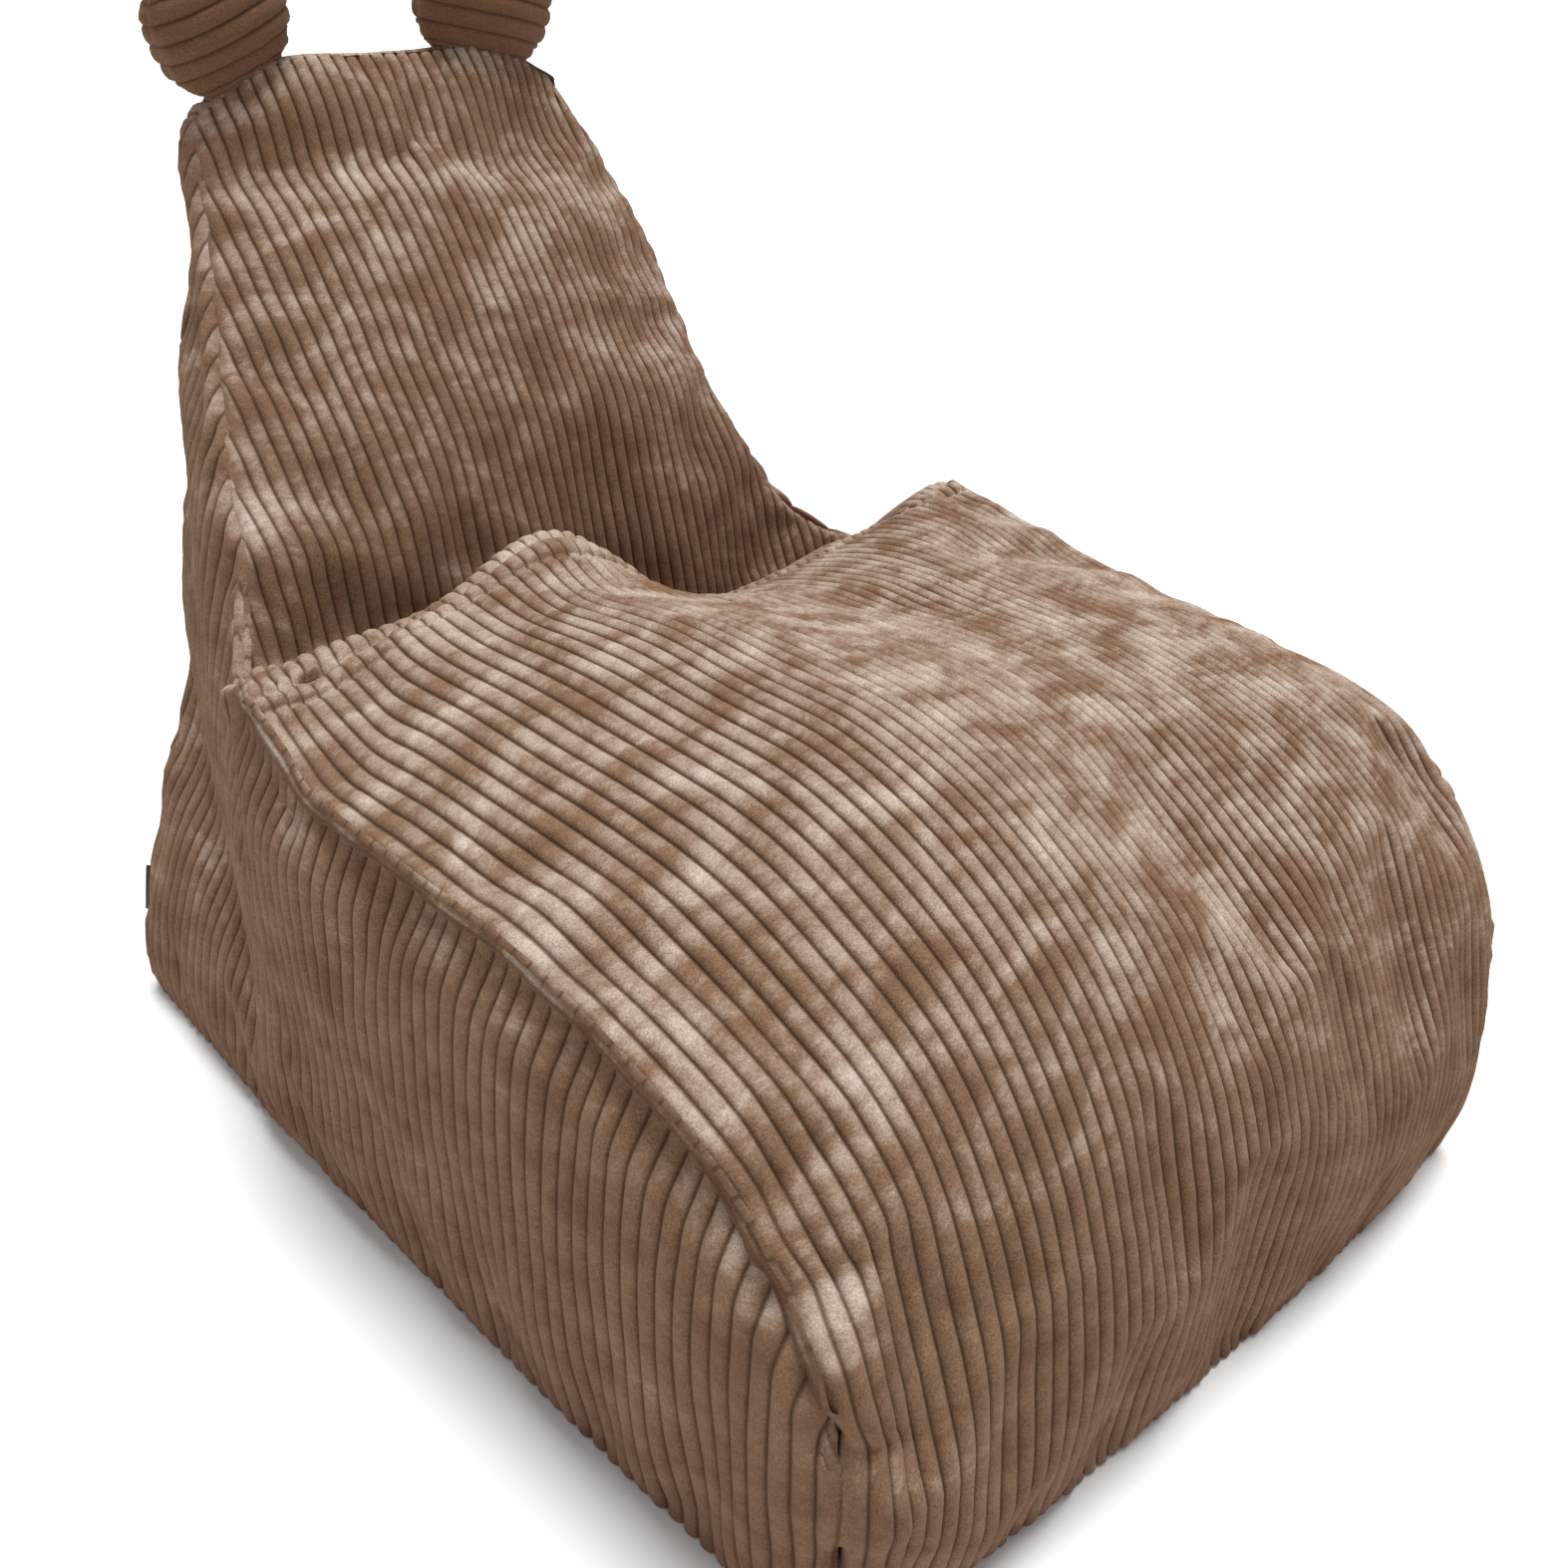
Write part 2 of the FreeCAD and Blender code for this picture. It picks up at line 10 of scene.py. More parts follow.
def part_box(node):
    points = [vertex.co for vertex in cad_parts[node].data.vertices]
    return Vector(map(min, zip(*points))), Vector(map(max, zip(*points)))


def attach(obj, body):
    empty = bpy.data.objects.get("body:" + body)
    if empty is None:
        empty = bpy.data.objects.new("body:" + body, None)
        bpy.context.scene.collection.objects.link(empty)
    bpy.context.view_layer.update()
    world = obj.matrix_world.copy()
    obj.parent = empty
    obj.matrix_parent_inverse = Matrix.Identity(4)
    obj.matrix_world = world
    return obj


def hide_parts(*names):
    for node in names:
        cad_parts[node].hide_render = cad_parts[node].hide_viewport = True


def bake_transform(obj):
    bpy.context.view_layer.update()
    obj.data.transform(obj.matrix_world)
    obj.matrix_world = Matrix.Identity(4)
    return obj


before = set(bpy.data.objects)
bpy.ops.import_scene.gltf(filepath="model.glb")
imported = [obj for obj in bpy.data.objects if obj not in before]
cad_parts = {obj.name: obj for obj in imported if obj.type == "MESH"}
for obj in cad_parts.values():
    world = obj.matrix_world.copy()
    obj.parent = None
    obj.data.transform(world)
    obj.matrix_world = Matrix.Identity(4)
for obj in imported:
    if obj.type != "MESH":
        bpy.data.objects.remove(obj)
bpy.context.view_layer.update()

mm = 0.001
print("frame loaded")

# ---- small tools ----


def catmull(t):
    # the four weights of a smooth curve through evenly spaced points
    return (
        -0.5 * t + t**2 - 0.5 * t**3,
        1 - 2.5 * t**2 + 1.5 * t**3,
        0.5 * t + 2 * t**2 - 1.5 * t**3,
        -0.5 * t**2 + 0.5 * t**3,
    )


def through(points, cells):
    # a smooth line through given points, cut into equal lengths
    pts = np.array(points, float) * mm
    ends = np.vstack([2 * pts[0] - pts[1], pts, 2 * pts[-1] - pts[-2]])
    line = []
    for i in range(len(pts) - 1):
        t = np.linspace(0, 1, 40, endpoint=False)
        line.append(sum(w[:, None] * ends[i + n] for n, w in enumerate(catmull(t))))
    line = np.vstack(line + [pts[-1:]])
    far = np.concatenate([[0], np.cumsum(np.linalg.norm(np.diff(line, axis=0), axis=1))])
    at = np.linspace(0, far[-1], cells + 1)
    return np.stack([np.interp(at, far, line[:, k]) for k in range(3)], 1)


def chain(*lines):
    # lines that start where the last one ends, as one
    return np.vstack([lines[0]] + [line[1:] for line in lines[1:]])


def sampleGrid(grid, row, col):
    # a smooth value of a grid of points at fractional rows and columns
    rows, cols = grid.shape[:2]
    wide = np.empty((rows + 2, cols + 2, grid.shape[2]))
    wide[1:-1, 1:-1] = grid
    wide[0, 1:-1] = 2 * grid[0] - grid[1]
    wide[-1, 1:-1] = 2 * grid[-1] - grid[-2]
    wide[:, 0] = 2 * wide[:, 1] - wide[:, 2]
    wide[:, -1] = 2 * wide[:, -2] - wide[:, -3]
    row, col = np.clip(row, 0, rows - 1), np.clip(col, 0, cols - 1)
    i, j = np.minimum(row.astype(int), rows - 2), np.minimum(col.astype(int), cols - 2)
    down, over = catmull(row - i), catmull(col - j)
    return sum((down[m] * over[n])[..., None] * wide[i + m, j + n] for m in range(4) for n in range(4))


def gridNormals(grid, row, col, step=0.3):
    alongRow = sampleGrid(grid, row, col + step) - sampleGrid(grid, row, col - step)
    alongCol = sampleGrid(grid, row + step, col) - sampleGrid(grid, row - step, col)
    normal = np.cross(alongRow, alongCol)
    return normal / np.maximum(np.linalg.norm(normal, axis=-1, keepdims=True), 1e-12)


def smoothStep(x):
    x = np.clip(x, 0, 1)
    return x * x * (3 - 2 * x)


def linear(hexCode):
    # an sRGB hex colour as linear RGBA
    parts = [int(hexCode[i:i + 2], 16) / 255 for i in (0, 2, 4)]
    return [p / 12.92 if p <= 0.04045 else ((p + 0.055) / 1.055) ** 2.4 for p in parts] + [1]


# ---- the bag's seams, in millimetres: listed points, front to back ----

cells = {"frontUp": 34, "seat": 44, "ridge": 8, "back": 32, "across": 50, "floorFine": 2000}
bagWide = 0.57

leftSeams = {
    "frontUp": [(-274, -384, 2), (-282, -392, 40), (-283, -392, 95), (-284, -386, 150)],
    "seat": [(-284, -386, 150), (-285, -364, 195), (-285, -325, 235), (-285, -258, 259), (-286, -171, 275),
             (-288, -70, 279), (-291, 17, 286), (-288, 84, 308)],
    "ridge": [(-288, 84, 308), (-272, 120, 303), (-256, 145, 288)],
    "back": [(-256, 145, 288), (-243, 165, 309), (-225, 196, 349), (-206, 234, 396), (-176, 292, 468),
             (-156, 332, 518), (-140, 366, 564)],
    "rear": [(-140, 366, 564), (-150, 374, 546), (-147, 374, 523), (-152, 369, 488), (-161, 364, 453),
             (-174, 354, 380), (-189, 344, 303), (-206, 333, 224), (-238, 323, 145), (-266, 312, 64),
             (-275, 306, 24), (-272, 302, 2)],
    "floor": [(-272, 302, 2), (-278, 150, 1), (-281, 0, 1), (-281, -200, 1), (-274, -384, 2)],
}
rightSeams = {
    "frontUp": [(272, -380, 2), (279, -385, 40), (280, -383, 95), (281, -378, 145)],
    "seat": [(281, -378, 145), (282, -367, 178), (284, -348, 210), (285, -322, 242), (284, -283, 268),
             (284, -195, 283), (284, -99, 290), (285, 8, 304), (284, 88, 319)],
    "ridge": [(284, 88, 319), (272, 122, 292), (250, 146, 266)],
    "back": [(250, 146, 266), (216, 158, 284), (188, 172, 310), (169, 200, 350), (158, 234, 396),
             (159, 291, 467), (152, 321, 505), (142, 346, 540), (131, 366, 568)],
    "rear": [(131, 366, 568), (142, 374, 523), (152, 366, 470), (168, 354, 380), (190, 344, 303),
             (212, 333, 224), (240, 323, 145), (264, 312, 64), (268, 304, 2)],
    "floor": [(268, 304, 2), (278, 150, 1), (281, 0, 1), (281, -200, 1), (272, -380, 2)],
}
parts = ("frontUp", "seat", "ridge", "back", "rear", "floor")
counts = {
    "frontUp": cells["frontUp"], "seat": cells["seat"], "ridge": cells["ridge"], "back": cells["back"],
    "rear": cells["frontUp"],
}
topCells = cells["seat"] + cells["ridge"] + cells["back"]


def seamLoop(seams):
    # one side's whole seam: up the front, over seat and backrest, down the rear, forward along the floor
    lines = [through(seams[part], counts[part]) for part in parts[:-1]]
    fine = through(seams["floor"], cells["floorFine"])
    # the floor's points stand under the seat's and the backrest's, so the side's weave runs upright
    share = np.interp(np.arange(topCells, -1, -1),
                      [0, cells["seat"], cells["seat"] + cells["ridge"], topCells], [1, 0.35, 0.28, 0])
    floorLine = fine[np.round(share * cells["floorFine"]).astype(int)]
    return chain(*lines, floorLine)


# how the middle of each row stands off a straight line between the two seams, in millimetres
crowns = [
    # row's place round the loop, (x, y, z) of the stand-off
    (0, (0, -13, 0)), (8, (0, -16, 0)), (16, (0, -16, 2)), (26, (0, -14, 6)), (34, (0, -14, 12)),
    (44, (0, -12, 18)), (56, (0, 0, 18)), (70, (0, 0, 8)), (78, (0, 0, 0)), (86, (0, 4, -26)),
    (92, (0, -4, -4)), (104, (0, -16, 12)), (114, (0, -8, 12)), (118, (0, 2, 22)), (124, (0, 3, 6)),
    (140, (0, 8, 0)), (146, (0, 4, 0)), (148, (0, 0, 0)),
    (152, (0, 0, 0)), (236, (0, -13, 0)),
]

# soft humps and dents: place, radii and lift in millimetres
humps = [
    {"at": (-95, -205, 290), "size": (125, 135, 110), "lift": (0, -8, 36)},
    {"at": (-100, -20, 300), "size": (110, 125, 90), "lift": (0, 0, 34)},
    {"at": (-72, 112, 330), "size": (62, 46, 60), "lift": (0, 6, 36)},
    {"at": (-190, 112, 310), "size": (60, 40, 50), "lift": (0, 0, 4)},
    {"at": (28, 112, 300), "size": (60, 60, 60), "lift": (0, 10, -36)},
    {"at": (130, 112, 300), "size": (90, 60, 60), "lift": (0, 6, -30)},
    {"at": (222, 112, 300), "size": (42, 46, 50), "lift": (0, 0, -7)},
    {"at": (-80, 370, 580), "size": (50, 40, 40), "lift": (0, 0, 11)},
    {"at": (80, 370, 580), "size": (50, 40, 40), "lift": (0, 0, 11)},
    {"at": (0, 370, 580), "size": (50, 40, 40), "lift": (0, 0, 4)},
]


def addHumps(points, lumps):
    for hump in lumps:
        gap = (points - np.array(hump["at"]) * mm) / (np.array(hump["size"]) * mm)
        points = points + np.exp(-(gap**2).sum(-1))[..., None] * np.array(hump["lift"]) * mm
    return points


def wrapGrid():
    # the band of fabric round seat, backrest, rear and base, from the left seam to the right one
    left, right = seamLoop(leftSeams), seamLoop(rightSeams)
    rows = len(left)
    u = np.linspace(0, 1, cells["across"] + 1)[None, :, None]
    at = [c[0] for c in crowns]
    crown = np.stack([np.interp(np.arange(rows), at, [c[1][k] for c in crowns]) for k in range(3)], 1) * mm
    arch = 1 - np.abs(2 * u - 1) ** 2.6
    return left[:, None] * (1 - u) + right[:, None] * u + arch * crown[:, None]


def sideGrid(loop):
    # a side panel between its four seams
    j, i = cells["frontUp"], topCells
    front, top = loop[:j + 1], loop[j:j + i + 1]
    rear, floor = loop[j + i:2 * j + i + 1][::-1], loop[2 * j + i:][::-1]
    s, t = np.linspace(0, 1, i + 1)[None, :, None], np.linspace(0, 1, j + 1)[:, None, None]
    faces = floor[None] * (1 - t) + top[None] * t + front[:, None] * (1 - s) + rear[:, None] * s
    corners = (floor[0] * (1 - s) * (1 - t) + floor[-1] * s * (1 - t)
               + top[0] * (1 - s) * t + top[-1] * s * t)
    return faces - corners


rowRidge = cells["frontUp"] + cells["seat"]
rowSeatEnd = rowRidge + cells["ridge"]
rowTop = rowSeatEnd + cells["back"]
rowRearEnd = rowTop + cells["frontUp"]
flatWrap = wrapGrid()
loopRows = len(flatWrap) - 1
wrap = addHumps(flatWrap[:loopRows], humps)
flatLeft = sideGrid(np.vstack([flatWrap[:loopRows, 0], flatWrap[:1, 0]]))
flatRight = sideGrid(np.vstack([flatWrap[:loopRows, -1], flatWrap[:1, -1]]))

# ---- the filled bag: one closed coarse mesh, puffed by a cloth simulation ----

puff = {"pressure": 1.5, "frames": 22, "shrink": -0.012, "bending": 6.0, "mostMove": 0.019}


def loopIndex(k, column):
    return (k % loopRows) * (cells["across"] + 1) + column


def bagMesh():
    points, faces = [wrap.reshape(-1, 3)], []
    for r in range(loopRows):
        for c in range(cells["across"]):
            faces.append((loopIndex(r, c), loopIndex(r, c + 1),
                          loopIndex(r + 1, c + 1), loopIndex(r + 1, c)))
    nextPoint = loopRows * (cells["across"] + 1)
    tables = []
    j, i = cells["frontUp"], topCells
    for flat, column, turned in ((flatLeft, 0, True), (flatRight, cells["across"], False)):
        table = np.zeros((j + 1, i + 1), int)
        for t in range(j + 1):
            for s in range(i + 1):
                if s == 0:
                    table[t, s] = loopIndex(t, column)
                elif t == j:
                    table[t, s] = loopIndex(j + s, column)
                elif s == i:
                    table[t, s] = loopIndex(j + i + (j - t), column)
                elif t == 0:
                    table[t, s] = loopIndex(2 * j + i + (i - s), column)
                else:
                    table[t, s] = nextPoint
                    points.append(flat[t, s][None])
                    nextPoint += 1
        for t in range(j):
            for s in range(i):
                quad = (table[t, s], table[t, s + 1], table[t + 1, s + 1], table[t + 1, s])
                faces.append(quad[::-1] if turned else quad)
        tables.append(table)
    return np.vstack(points), faces, tables


def inflate(points, faces, held):
    # puffs the sewn bag from inside; seams and the zip's line stay where they are sewn
    mesh = bpy.data.meshes.new("bagCoarse")
    mesh.from_pydata(points.tolist(), [], [tuple(int(n) for n in f) for f in faces])
    bag = bpy.data.objects.new("bagCoarse", mesh)
    bpy.context.scene.collection.objects.link(bag)
    group = bag.vertex_groups.new(name="sewn")
    group.add([int(n) for n in held], 1.0, "REPLACE")
    cloth = bag.modifiers.new("puff", "CLOTH")
    s = cloth.settings
    s.quality = 6
    s.mass = 0.35
    s.tension_stiffness = s.compression_stiffness = 22
    s.shear_stiffness = 10
    s.bending_stiffness = puff["bending"]
    s.tension_damping = s.compression_damping = s.shear_damping = 10
    s.air_damping = 4
    s.shrink_min = puff["shrink"]
    s.use_pressure = True
    s.uniform_pressure_force = puff["pressure"]
    s.vertex_group_mass = "sewn"
    s.pin_stiffness = 1
    s.effector_weights.gravity = 0
    cloth.collision_settings.use_collision = False
    cloth.point_cache.frame_start, cloth.point_cache.frame_end = 1, puff["frames"]
    scene = bpy.context.scene
    for number in range(1, puff["frames"] + 1):
        scene.frame_set(number)
    seen = bag.evaluated_get(bpy.context.evaluated_depsgraph_get())
    moved = np.empty(len(points) * 3)
    seen.data.vertices.foreach_get("co", moved)
    scene.frame_set(1)
    bpy.data.objects.remove(bag)
    shift = moved.reshape(-1, 3) - points
    far = np.linalg.norm(shift, axis=1, keepdims=True)
    print(f"bag puffed: most {far.max() / mm:.0f} mm, middle {np.median(far) / mm:.0f} mm")
    return points + shift * np.tanh(far / puff["mostMove"]) * puff["mostMove"] / np.maximum(far, 1e-9)


coarse, coarseFaces, sideTables = bagMesh()
zipBand = (0.035, 0.08)    # heights between which the rear is held flat for the zip
midColumn = cells["across"] // 2
zipRows = [r for r in range(rowTop, rowRearEnd + 1)
           if zipBand[0] < wrap[r % loopRows, midColumn, 2] < zipBand[1]]
held = sorted(
    set(n for table in sideTables for n in (*table[0], *table[-1], *table[:, 0], *table[:, -1]))
    | set(loopIndex(r, c) for r in (0, rowSeatEnd, rowTop, rowRearEnd, *zipRows)
          for c in range(cells["across"] + 1))
    | set(loopIndex(r, c) for r in range(rowRearEnd, loopRows) for c in range(cells["across"] + 1))
)
coarse = inflate(coarse, coarseFaces, held)
print("bag's form ready")

# folds pressed in after filling: a line from one point to another, its half width and its lift
folds = [
    # the seat's rear left corner curls in, with a valley beside it
    {"from": (-292, 40, 296), "to": (-280, 96, 306), "half": 24, "lift": (6, 1, 1)},
    {"from": (-252, -12, 284), "to": (-196, 58, 300), "half": 17, "lift": (0, 0, -11)},
    {"from": (-205, -30, 288), "to": (-150, 50, 310), "half": 16, "lift": (0, 0, 3)},
    # the gap behind the ridge, with the backrest swelling over it
    {"from": (-238, 152, 288), "to": (-120, 152, 300), "half": 15, "lift": (0, 2, -5)},
    {"from": (-222, 196, 346), "to": (-110, 190, 346), "half": 22, "lift": (0, -8, 0)},
    # the dip in front of the hump and the soft crease that runs off it
    {"from": (-38, 18, 300), "to": (60, -70, 294), "half": 26, "lift": (0, 0, -7)},
    {"from": (20, 20, 300), "to": (120, -40, 294), "half": 22, "lift": (0, 0, 4)},
    {"from": (-150, -60, 292), "to": (20, -150, 300), "half": 26, "lift": (0, 0, 3)},
    # pleats where the seam runs over the roll on the left
    {"from": (-286, -322, 236), "to": (-238, -330, 250), "half": 10, "lift": (3, 2, -5)},
    {"from": (-287, -352, 207), "to": (-246, -372, 214), "half": 9, "lift": (6, 6, -3)},
    {"from": (-287, -386, 150), "to": (-250, -398, 130), "half": 9, "lift": (7, 6, 0)},
    {"from": (-276, -372, 186), "to": (-262, -402, 100), "half": 12, "lift": (-2, -6, 0)},
    {"from": (-283, -392, 78), "to": (-262, -398, 20), "half": 8, "lift": (7, 8, 0)},
    # the backrest's slow waves
    {"from": (-170, 224, 372), "to": (120, 222, 372), "half": 26, "lift": (0, -5, 4)},
    {"from": (-150, 262, 424), "to": (110, 256, 416), "half": 24, "lift": (0, 5, -4)},
    {"from": (-120, 300, 470), "to": (90, 298, 466), "half": 22, "lift": (0, -4, 3)},
    {"from": (-110, 336, 520), "to": (90, 332, 512), "half": 22, "lift": (0, 4, -3)},
    {"from": (-120, 352, 552), "to": (-60, 352, 560), "half": 12, "lift": (0, -4, 2)},
]


def pressFolds(points, lines):
    for fold in lines:
        a, b = np.array(fold["from"]) * mm, np.array(fold["to"]) * mm
        along = np.clip(((points - a) @ (b - a)) / ((b - a) @ (b - a)), 0, 1)
        gap = np.linalg.norm(points - (a + along[:, None] * (b - a)), axis=1) / (fold["half"] * mm)
        points = points + np.exp(-gap**2)[:, None] * np.array(fold["lift"]) * mm
    return points


coarse = pressFolds(coarse, folds)

# the left seam stands proud of the side below it, so the side steps in under the seat's edge
overhang = {"out": 3.0, "steps": (9.0, 8.0, 5.0, 2.0), "right": 0.0}
for table, sign, share in ((sideTables[0], -1, 1.0), (sideTables[1], 1, overhang["right"])):
    span = np.arange(2, cells["seat"] + 4)
    coarse[table[-1][span], 0] += sign * share * overhang["out"] * mm
    for down, depth in enumerate(overhang["steps"]):
        coarse[table[-2 - down][span], 0] -= sign * share * depth * mm
coarse[:, 2] = np.maximum(coarse[:, 2], 0.0016)
wrapShape = coarse[:loopRows * (cells["across"] + 1)].reshape(loopRows, cells["across"] + 1, 3)
wrapLoop = np.vstack([wrapShape, wrapShape[:1]])
leftShape, rightShape = coarse[sideTables[0]], coarse[sideTables[1]]

# ---- corduroy panels: every wale is modelled ----

cord = {
    "pitch": 11.6,        # mm from wale to wale
    "wrapShare": 1.08,    # cloth across the seat and back for each mm of bag, at the left
    "gatherRight": 0.34,  # how much more of it there is at the right
    "edgeShift": 0.046,   # puts a groove on the left seam
    "height": 3.0,        # mm from groove to crown
    "crown": 2.7,         # how flat a wale's top is
    "rows": 6.5,          # mm between points along a wale
    "seamDip": 2.8,       # mm that a panel turns in at its seams
    "seamHalf": 3.4,      # mm over which it turns in
    "endRound": 8.0,      # mm over which a wale's end rises from the seam
    "allowance": 3.5,     # mm of fabric turned inside past the seam
    "wander": 0.45,       # mm that a wale wanders sideways
    "lumps": 0.05,        # share of the height that swells and sinks along a wale
    "across": (0.0, 0.035, 0.1, 0.24, 0.5, 0.76, 0.9, 0.965),   # points across one wale
}


def walePhase(s):
    return s / (cord["pitch"] * mm) + 0.5


def waleLift(s):
    # rounded crown, narrow groove
    across = np.abs(2 * (walePhase(s) % 1.0) - 1)
    return cord["height"] * mm * (1 - across**cord["crown"])


def waleColumns(low, high):
    first, last = math.floor(walePhase(low)), math.ceil(walePhase(high))
    places = [((k + f) - 0.5) * cord["pitch"] * mm for k in range(first, last + 1) for f in cord["across"]]
    inside = [p for p in places if low + 0.6 * mm < p < high - 0.6 * mm]
    return np.array([low] + inside + [high])


def panelMesh(name, shape, flatAcross, flatAlong, flip=False, cutStart=None, cutEnd=None, stitch=None,
              flatEnds=()):
    # shape: coarse grid of points; flatAcross, flatAlong: where each lies in the cut cloth, in metres
    # cutStart, cutEnd: the row where a wale at a given place across starts and ends
    # stitch: mm from the end of the panel to a line of stitches; flatEnds: edges that don't turn in
    rows, cols = flatAcross.shape
    s = waleColumns(flatAcross.min(), flatAcross.max())
    length = np.median(flatAlong[-1] - flatAlong[0])
    steps = max(8, int(length / (cord["rows"] * mm)))
    # even steps along the cloth, whatever the coarse rows do
    middle = flatAlong[:, cols // 2]
    start, end = middle[0], middle[-1]
    closeToEnd = np.array([1, 2.4, 4.2]) * mm
    marks = [np.linspace(start, end, steps + 1), start + closeToEnd, end - closeToEnd]
    if stitch:
        marks.append(end - (stitch + np.array([-5, -3, -1.4, 0, 1.4, 3, 5])) * mm)
    marks = np.unique(np.round(np.concatenate(marks), 4))
    keep = np.concatenate([[True], np.diff(marks) > 0.0007])
    t = np.interp(marks[keep], middle, np.arange(rows))

    def edges(at):
        k = np.minimum(at.astype(int), rows - 2)
        f = (at - k)[..., None]
        return flatAcross[k] * (1 - f) + flatAcross[k + 1] * f

    # past a cut the rows stay on it; past the outline the columns follow the seam
    row = np.repeat(t[:, None], len(s), 1)
    firstRow = np.array([cutStart(one) for one in s]) if cutStart else np.zeros(len(s))
    lastRow = np.array([cutEnd(one) for one in s]) if cutEnd else np.full(len(s), rows - 1.0)
    row = np.clip(row, firstRow, lastRow)
    here = edges(row)
    lowHere, highHere = here[..., 0], here[..., -1]
    across = np.clip(s[None], lowHere, highHere)
    k = np.clip((here <= across[..., None]).sum(-1) - 1, 0, cols - 2)
    left = np.take_along_axis(here, k[..., None], -1)[..., 0]
    right = np.take_along_axis(here, k[..., None] + 1, -1)[..., 0]
    col = k + np.clip((across - left) / np.maximum(right - left, 1e-9), 0, 1)
    base = sampleGrid(shape, row, col)
    normal = gridNormals(shape, row, col)
    if flip:
        normal = -normal
    alongHere = sampleGrid(flatAlong[..., None], row, col)[..., 0]
    lowRow = np.broadcast_to(firstRow[None], row.shape) if cutStart else np.zeros_like(row)
    highRow = np.broadcast_to(lastRow[None], row.shape) if cutEnd else np.full_like(row, rows - 1)
    alongLow = sampleGrid(flatAlong[..., None], lowRow, col)[..., 0]
    alongHigh = sampleGrid(flatAlong[..., None], highRow, col)[..., 0]
    gaps = {"low": across - lowHere, "high": highHere - across,
            "start": alongHere - alongLow, "end": alongHigh - alongHere}
    toEdge = np.minimum.reduce([gap for edge, gap in gaps.items() if edge not in flatEnds])
    toEdge = np.maximum(toEdge, 0)
    number = np.floor(walePhase(across))
    swell = np.sin(alongHere / mm / 7.5 + number * 2.4)
    swell = swell + 0.7 * np.sin(alongHere / mm / 13 + number * 4.1 + 1)
    rise = smoothStep(toEdge / (cord["endRound"] * mm)) ** 0.6
    lift = waleLift(across) * rise * (1 + cord["lumps"] * swell)
    lift = lift - cord["seamDip"] * mm * np.exp(-(toEdge / (cord["seamHalf"] * mm)) ** 2)
    if stitch:
        pulled = np.exp(-((gaps["end"] / mm - stitch) / 2.2) ** 2)
        lift = lift * (1 - 0.5 * pulled) - 1.6 * mm * pulled
    side = sampleGrid(shape, row, col + 0.2) - sampleGrid(shape, row, col - 0.2)
    side /= np.maximum(np.linalg.norm(side, axis=-1, keepdims=True), 1e-9)
    wander = np.sin(alongHere / mm / 31 + across / mm / 47)
    wander = wander + 0.6 * np.sin(alongHere / mm / 17 - across / mm / 29 + 2)
    wander = wander * cord["wander"] * mm * smoothStep(toEdge / (30 * mm))
    points = base + normal * lift[..., None] + side * wander[..., None]
    # the allowance: a ring of points turned inside
    inward = base - normal * (cord["seamDip"] + cord["allowance"]) * mm
    full = np.zeros((points.shape[0] + 2, points.shape[1] + 2, 3))
    full[1:-1, 1:-1] = points
    full[0, 1:-1], full[-1, 1:-1] = inward[0], inward[-1]
    full[1:-1, 0], full[1:-1, -1] = inward[:, 0], inward[:, -1]
    for a, b, c, d in ((0, 0, 0, 0), (0, -1, 0, -1), (-1, 0, -1, 0), (-1, -1, -1, -1)):
        full[a, b] = inward[c, d]
    uvAcross, uvAlong = np.pad(across, 1, "edge"), np.pad(alongHere, 1, "edge")
    return makePiece(name, full, uvAcross, uvAlong, flip)


def makePiece(name, grid, uvAcross, uvAlong, flip=False):
    rows, cols = grid.shape[:2]
    mesh = bpy.data.meshes.new(name)
    index = np.arange(rows * cols).reshape(rows, cols)
    quads = np.stack([index[:-1, :-1], index[:-1, 1:], index[1:, 1:], index[1:, :-1]], -1).reshape(-1, 4)
    if flip:
        quads = quads[:, ::-1]
    mesh.from_pydata(grid.reshape(-1, 3).tolist(), [], quads.tolist())
    layer = mesh.uv_layers.new(name="cloth")
    corner = np.empty(len(mesh.loops), int)
    mesh.loops.foreach_get("vertex_index", corner)
    uv = np.stack([uvAcross.reshape(-1)[corner], uvAlong.reshape(-1)[corner]], 1)
    layer.data.foreach_set("uv", uv.astype(np.float32).ravel())
    tidyMesh = bmesh.new()
    tidyMesh.from_mesh(mesh)
    bmesh.ops.remove_doubles(tidyMesh, verts=tidyMesh.verts, dist=0.00002)
    bmesh.ops.dissolve_degenerate(tidyMesh, dist=0.00001, edges=tidyMesh.edges)
    loose = [v for v in tidyMesh.verts if not v.link_faces]
    bmesh.ops.delete(tidyMesh, geom=loose, context="VERTS")
    tidyMesh.to_mesh(mesh)
    tidyMesh.free()
    mesh.polygons.foreach_set("use_smooth", [True] * len(mesh.polygons))
    piece = bpy.data.objects.new(name, mesh)
    bpy.context.scene.collection.objects.link(piece)
    print(f"{name}: {len(mesh.polygons)} faces")
    return piece


def lengthsDown(grid):
    # distance down each column of a grid, the same for the whole row
    steps = np.linalg.norm(np.diff(grid, axis=0), axis=2).mean(1)
    return np.repeat(np.concatenate([[0], np.cumsum(steps)])[:, None], grid.shape[1], 1)


def cutAcross(x):
    # where a point this far across lies in the cut cloth: the wales sit closer towards the right
    gather = cord["gatherRight"] * (x / bagWide + 0.5)
    gathered = bagWide * gather * gather / (2 * cord["gatherRight"])
    return x * cord["wrapShare"] + gathered - cord["edgeShift"]


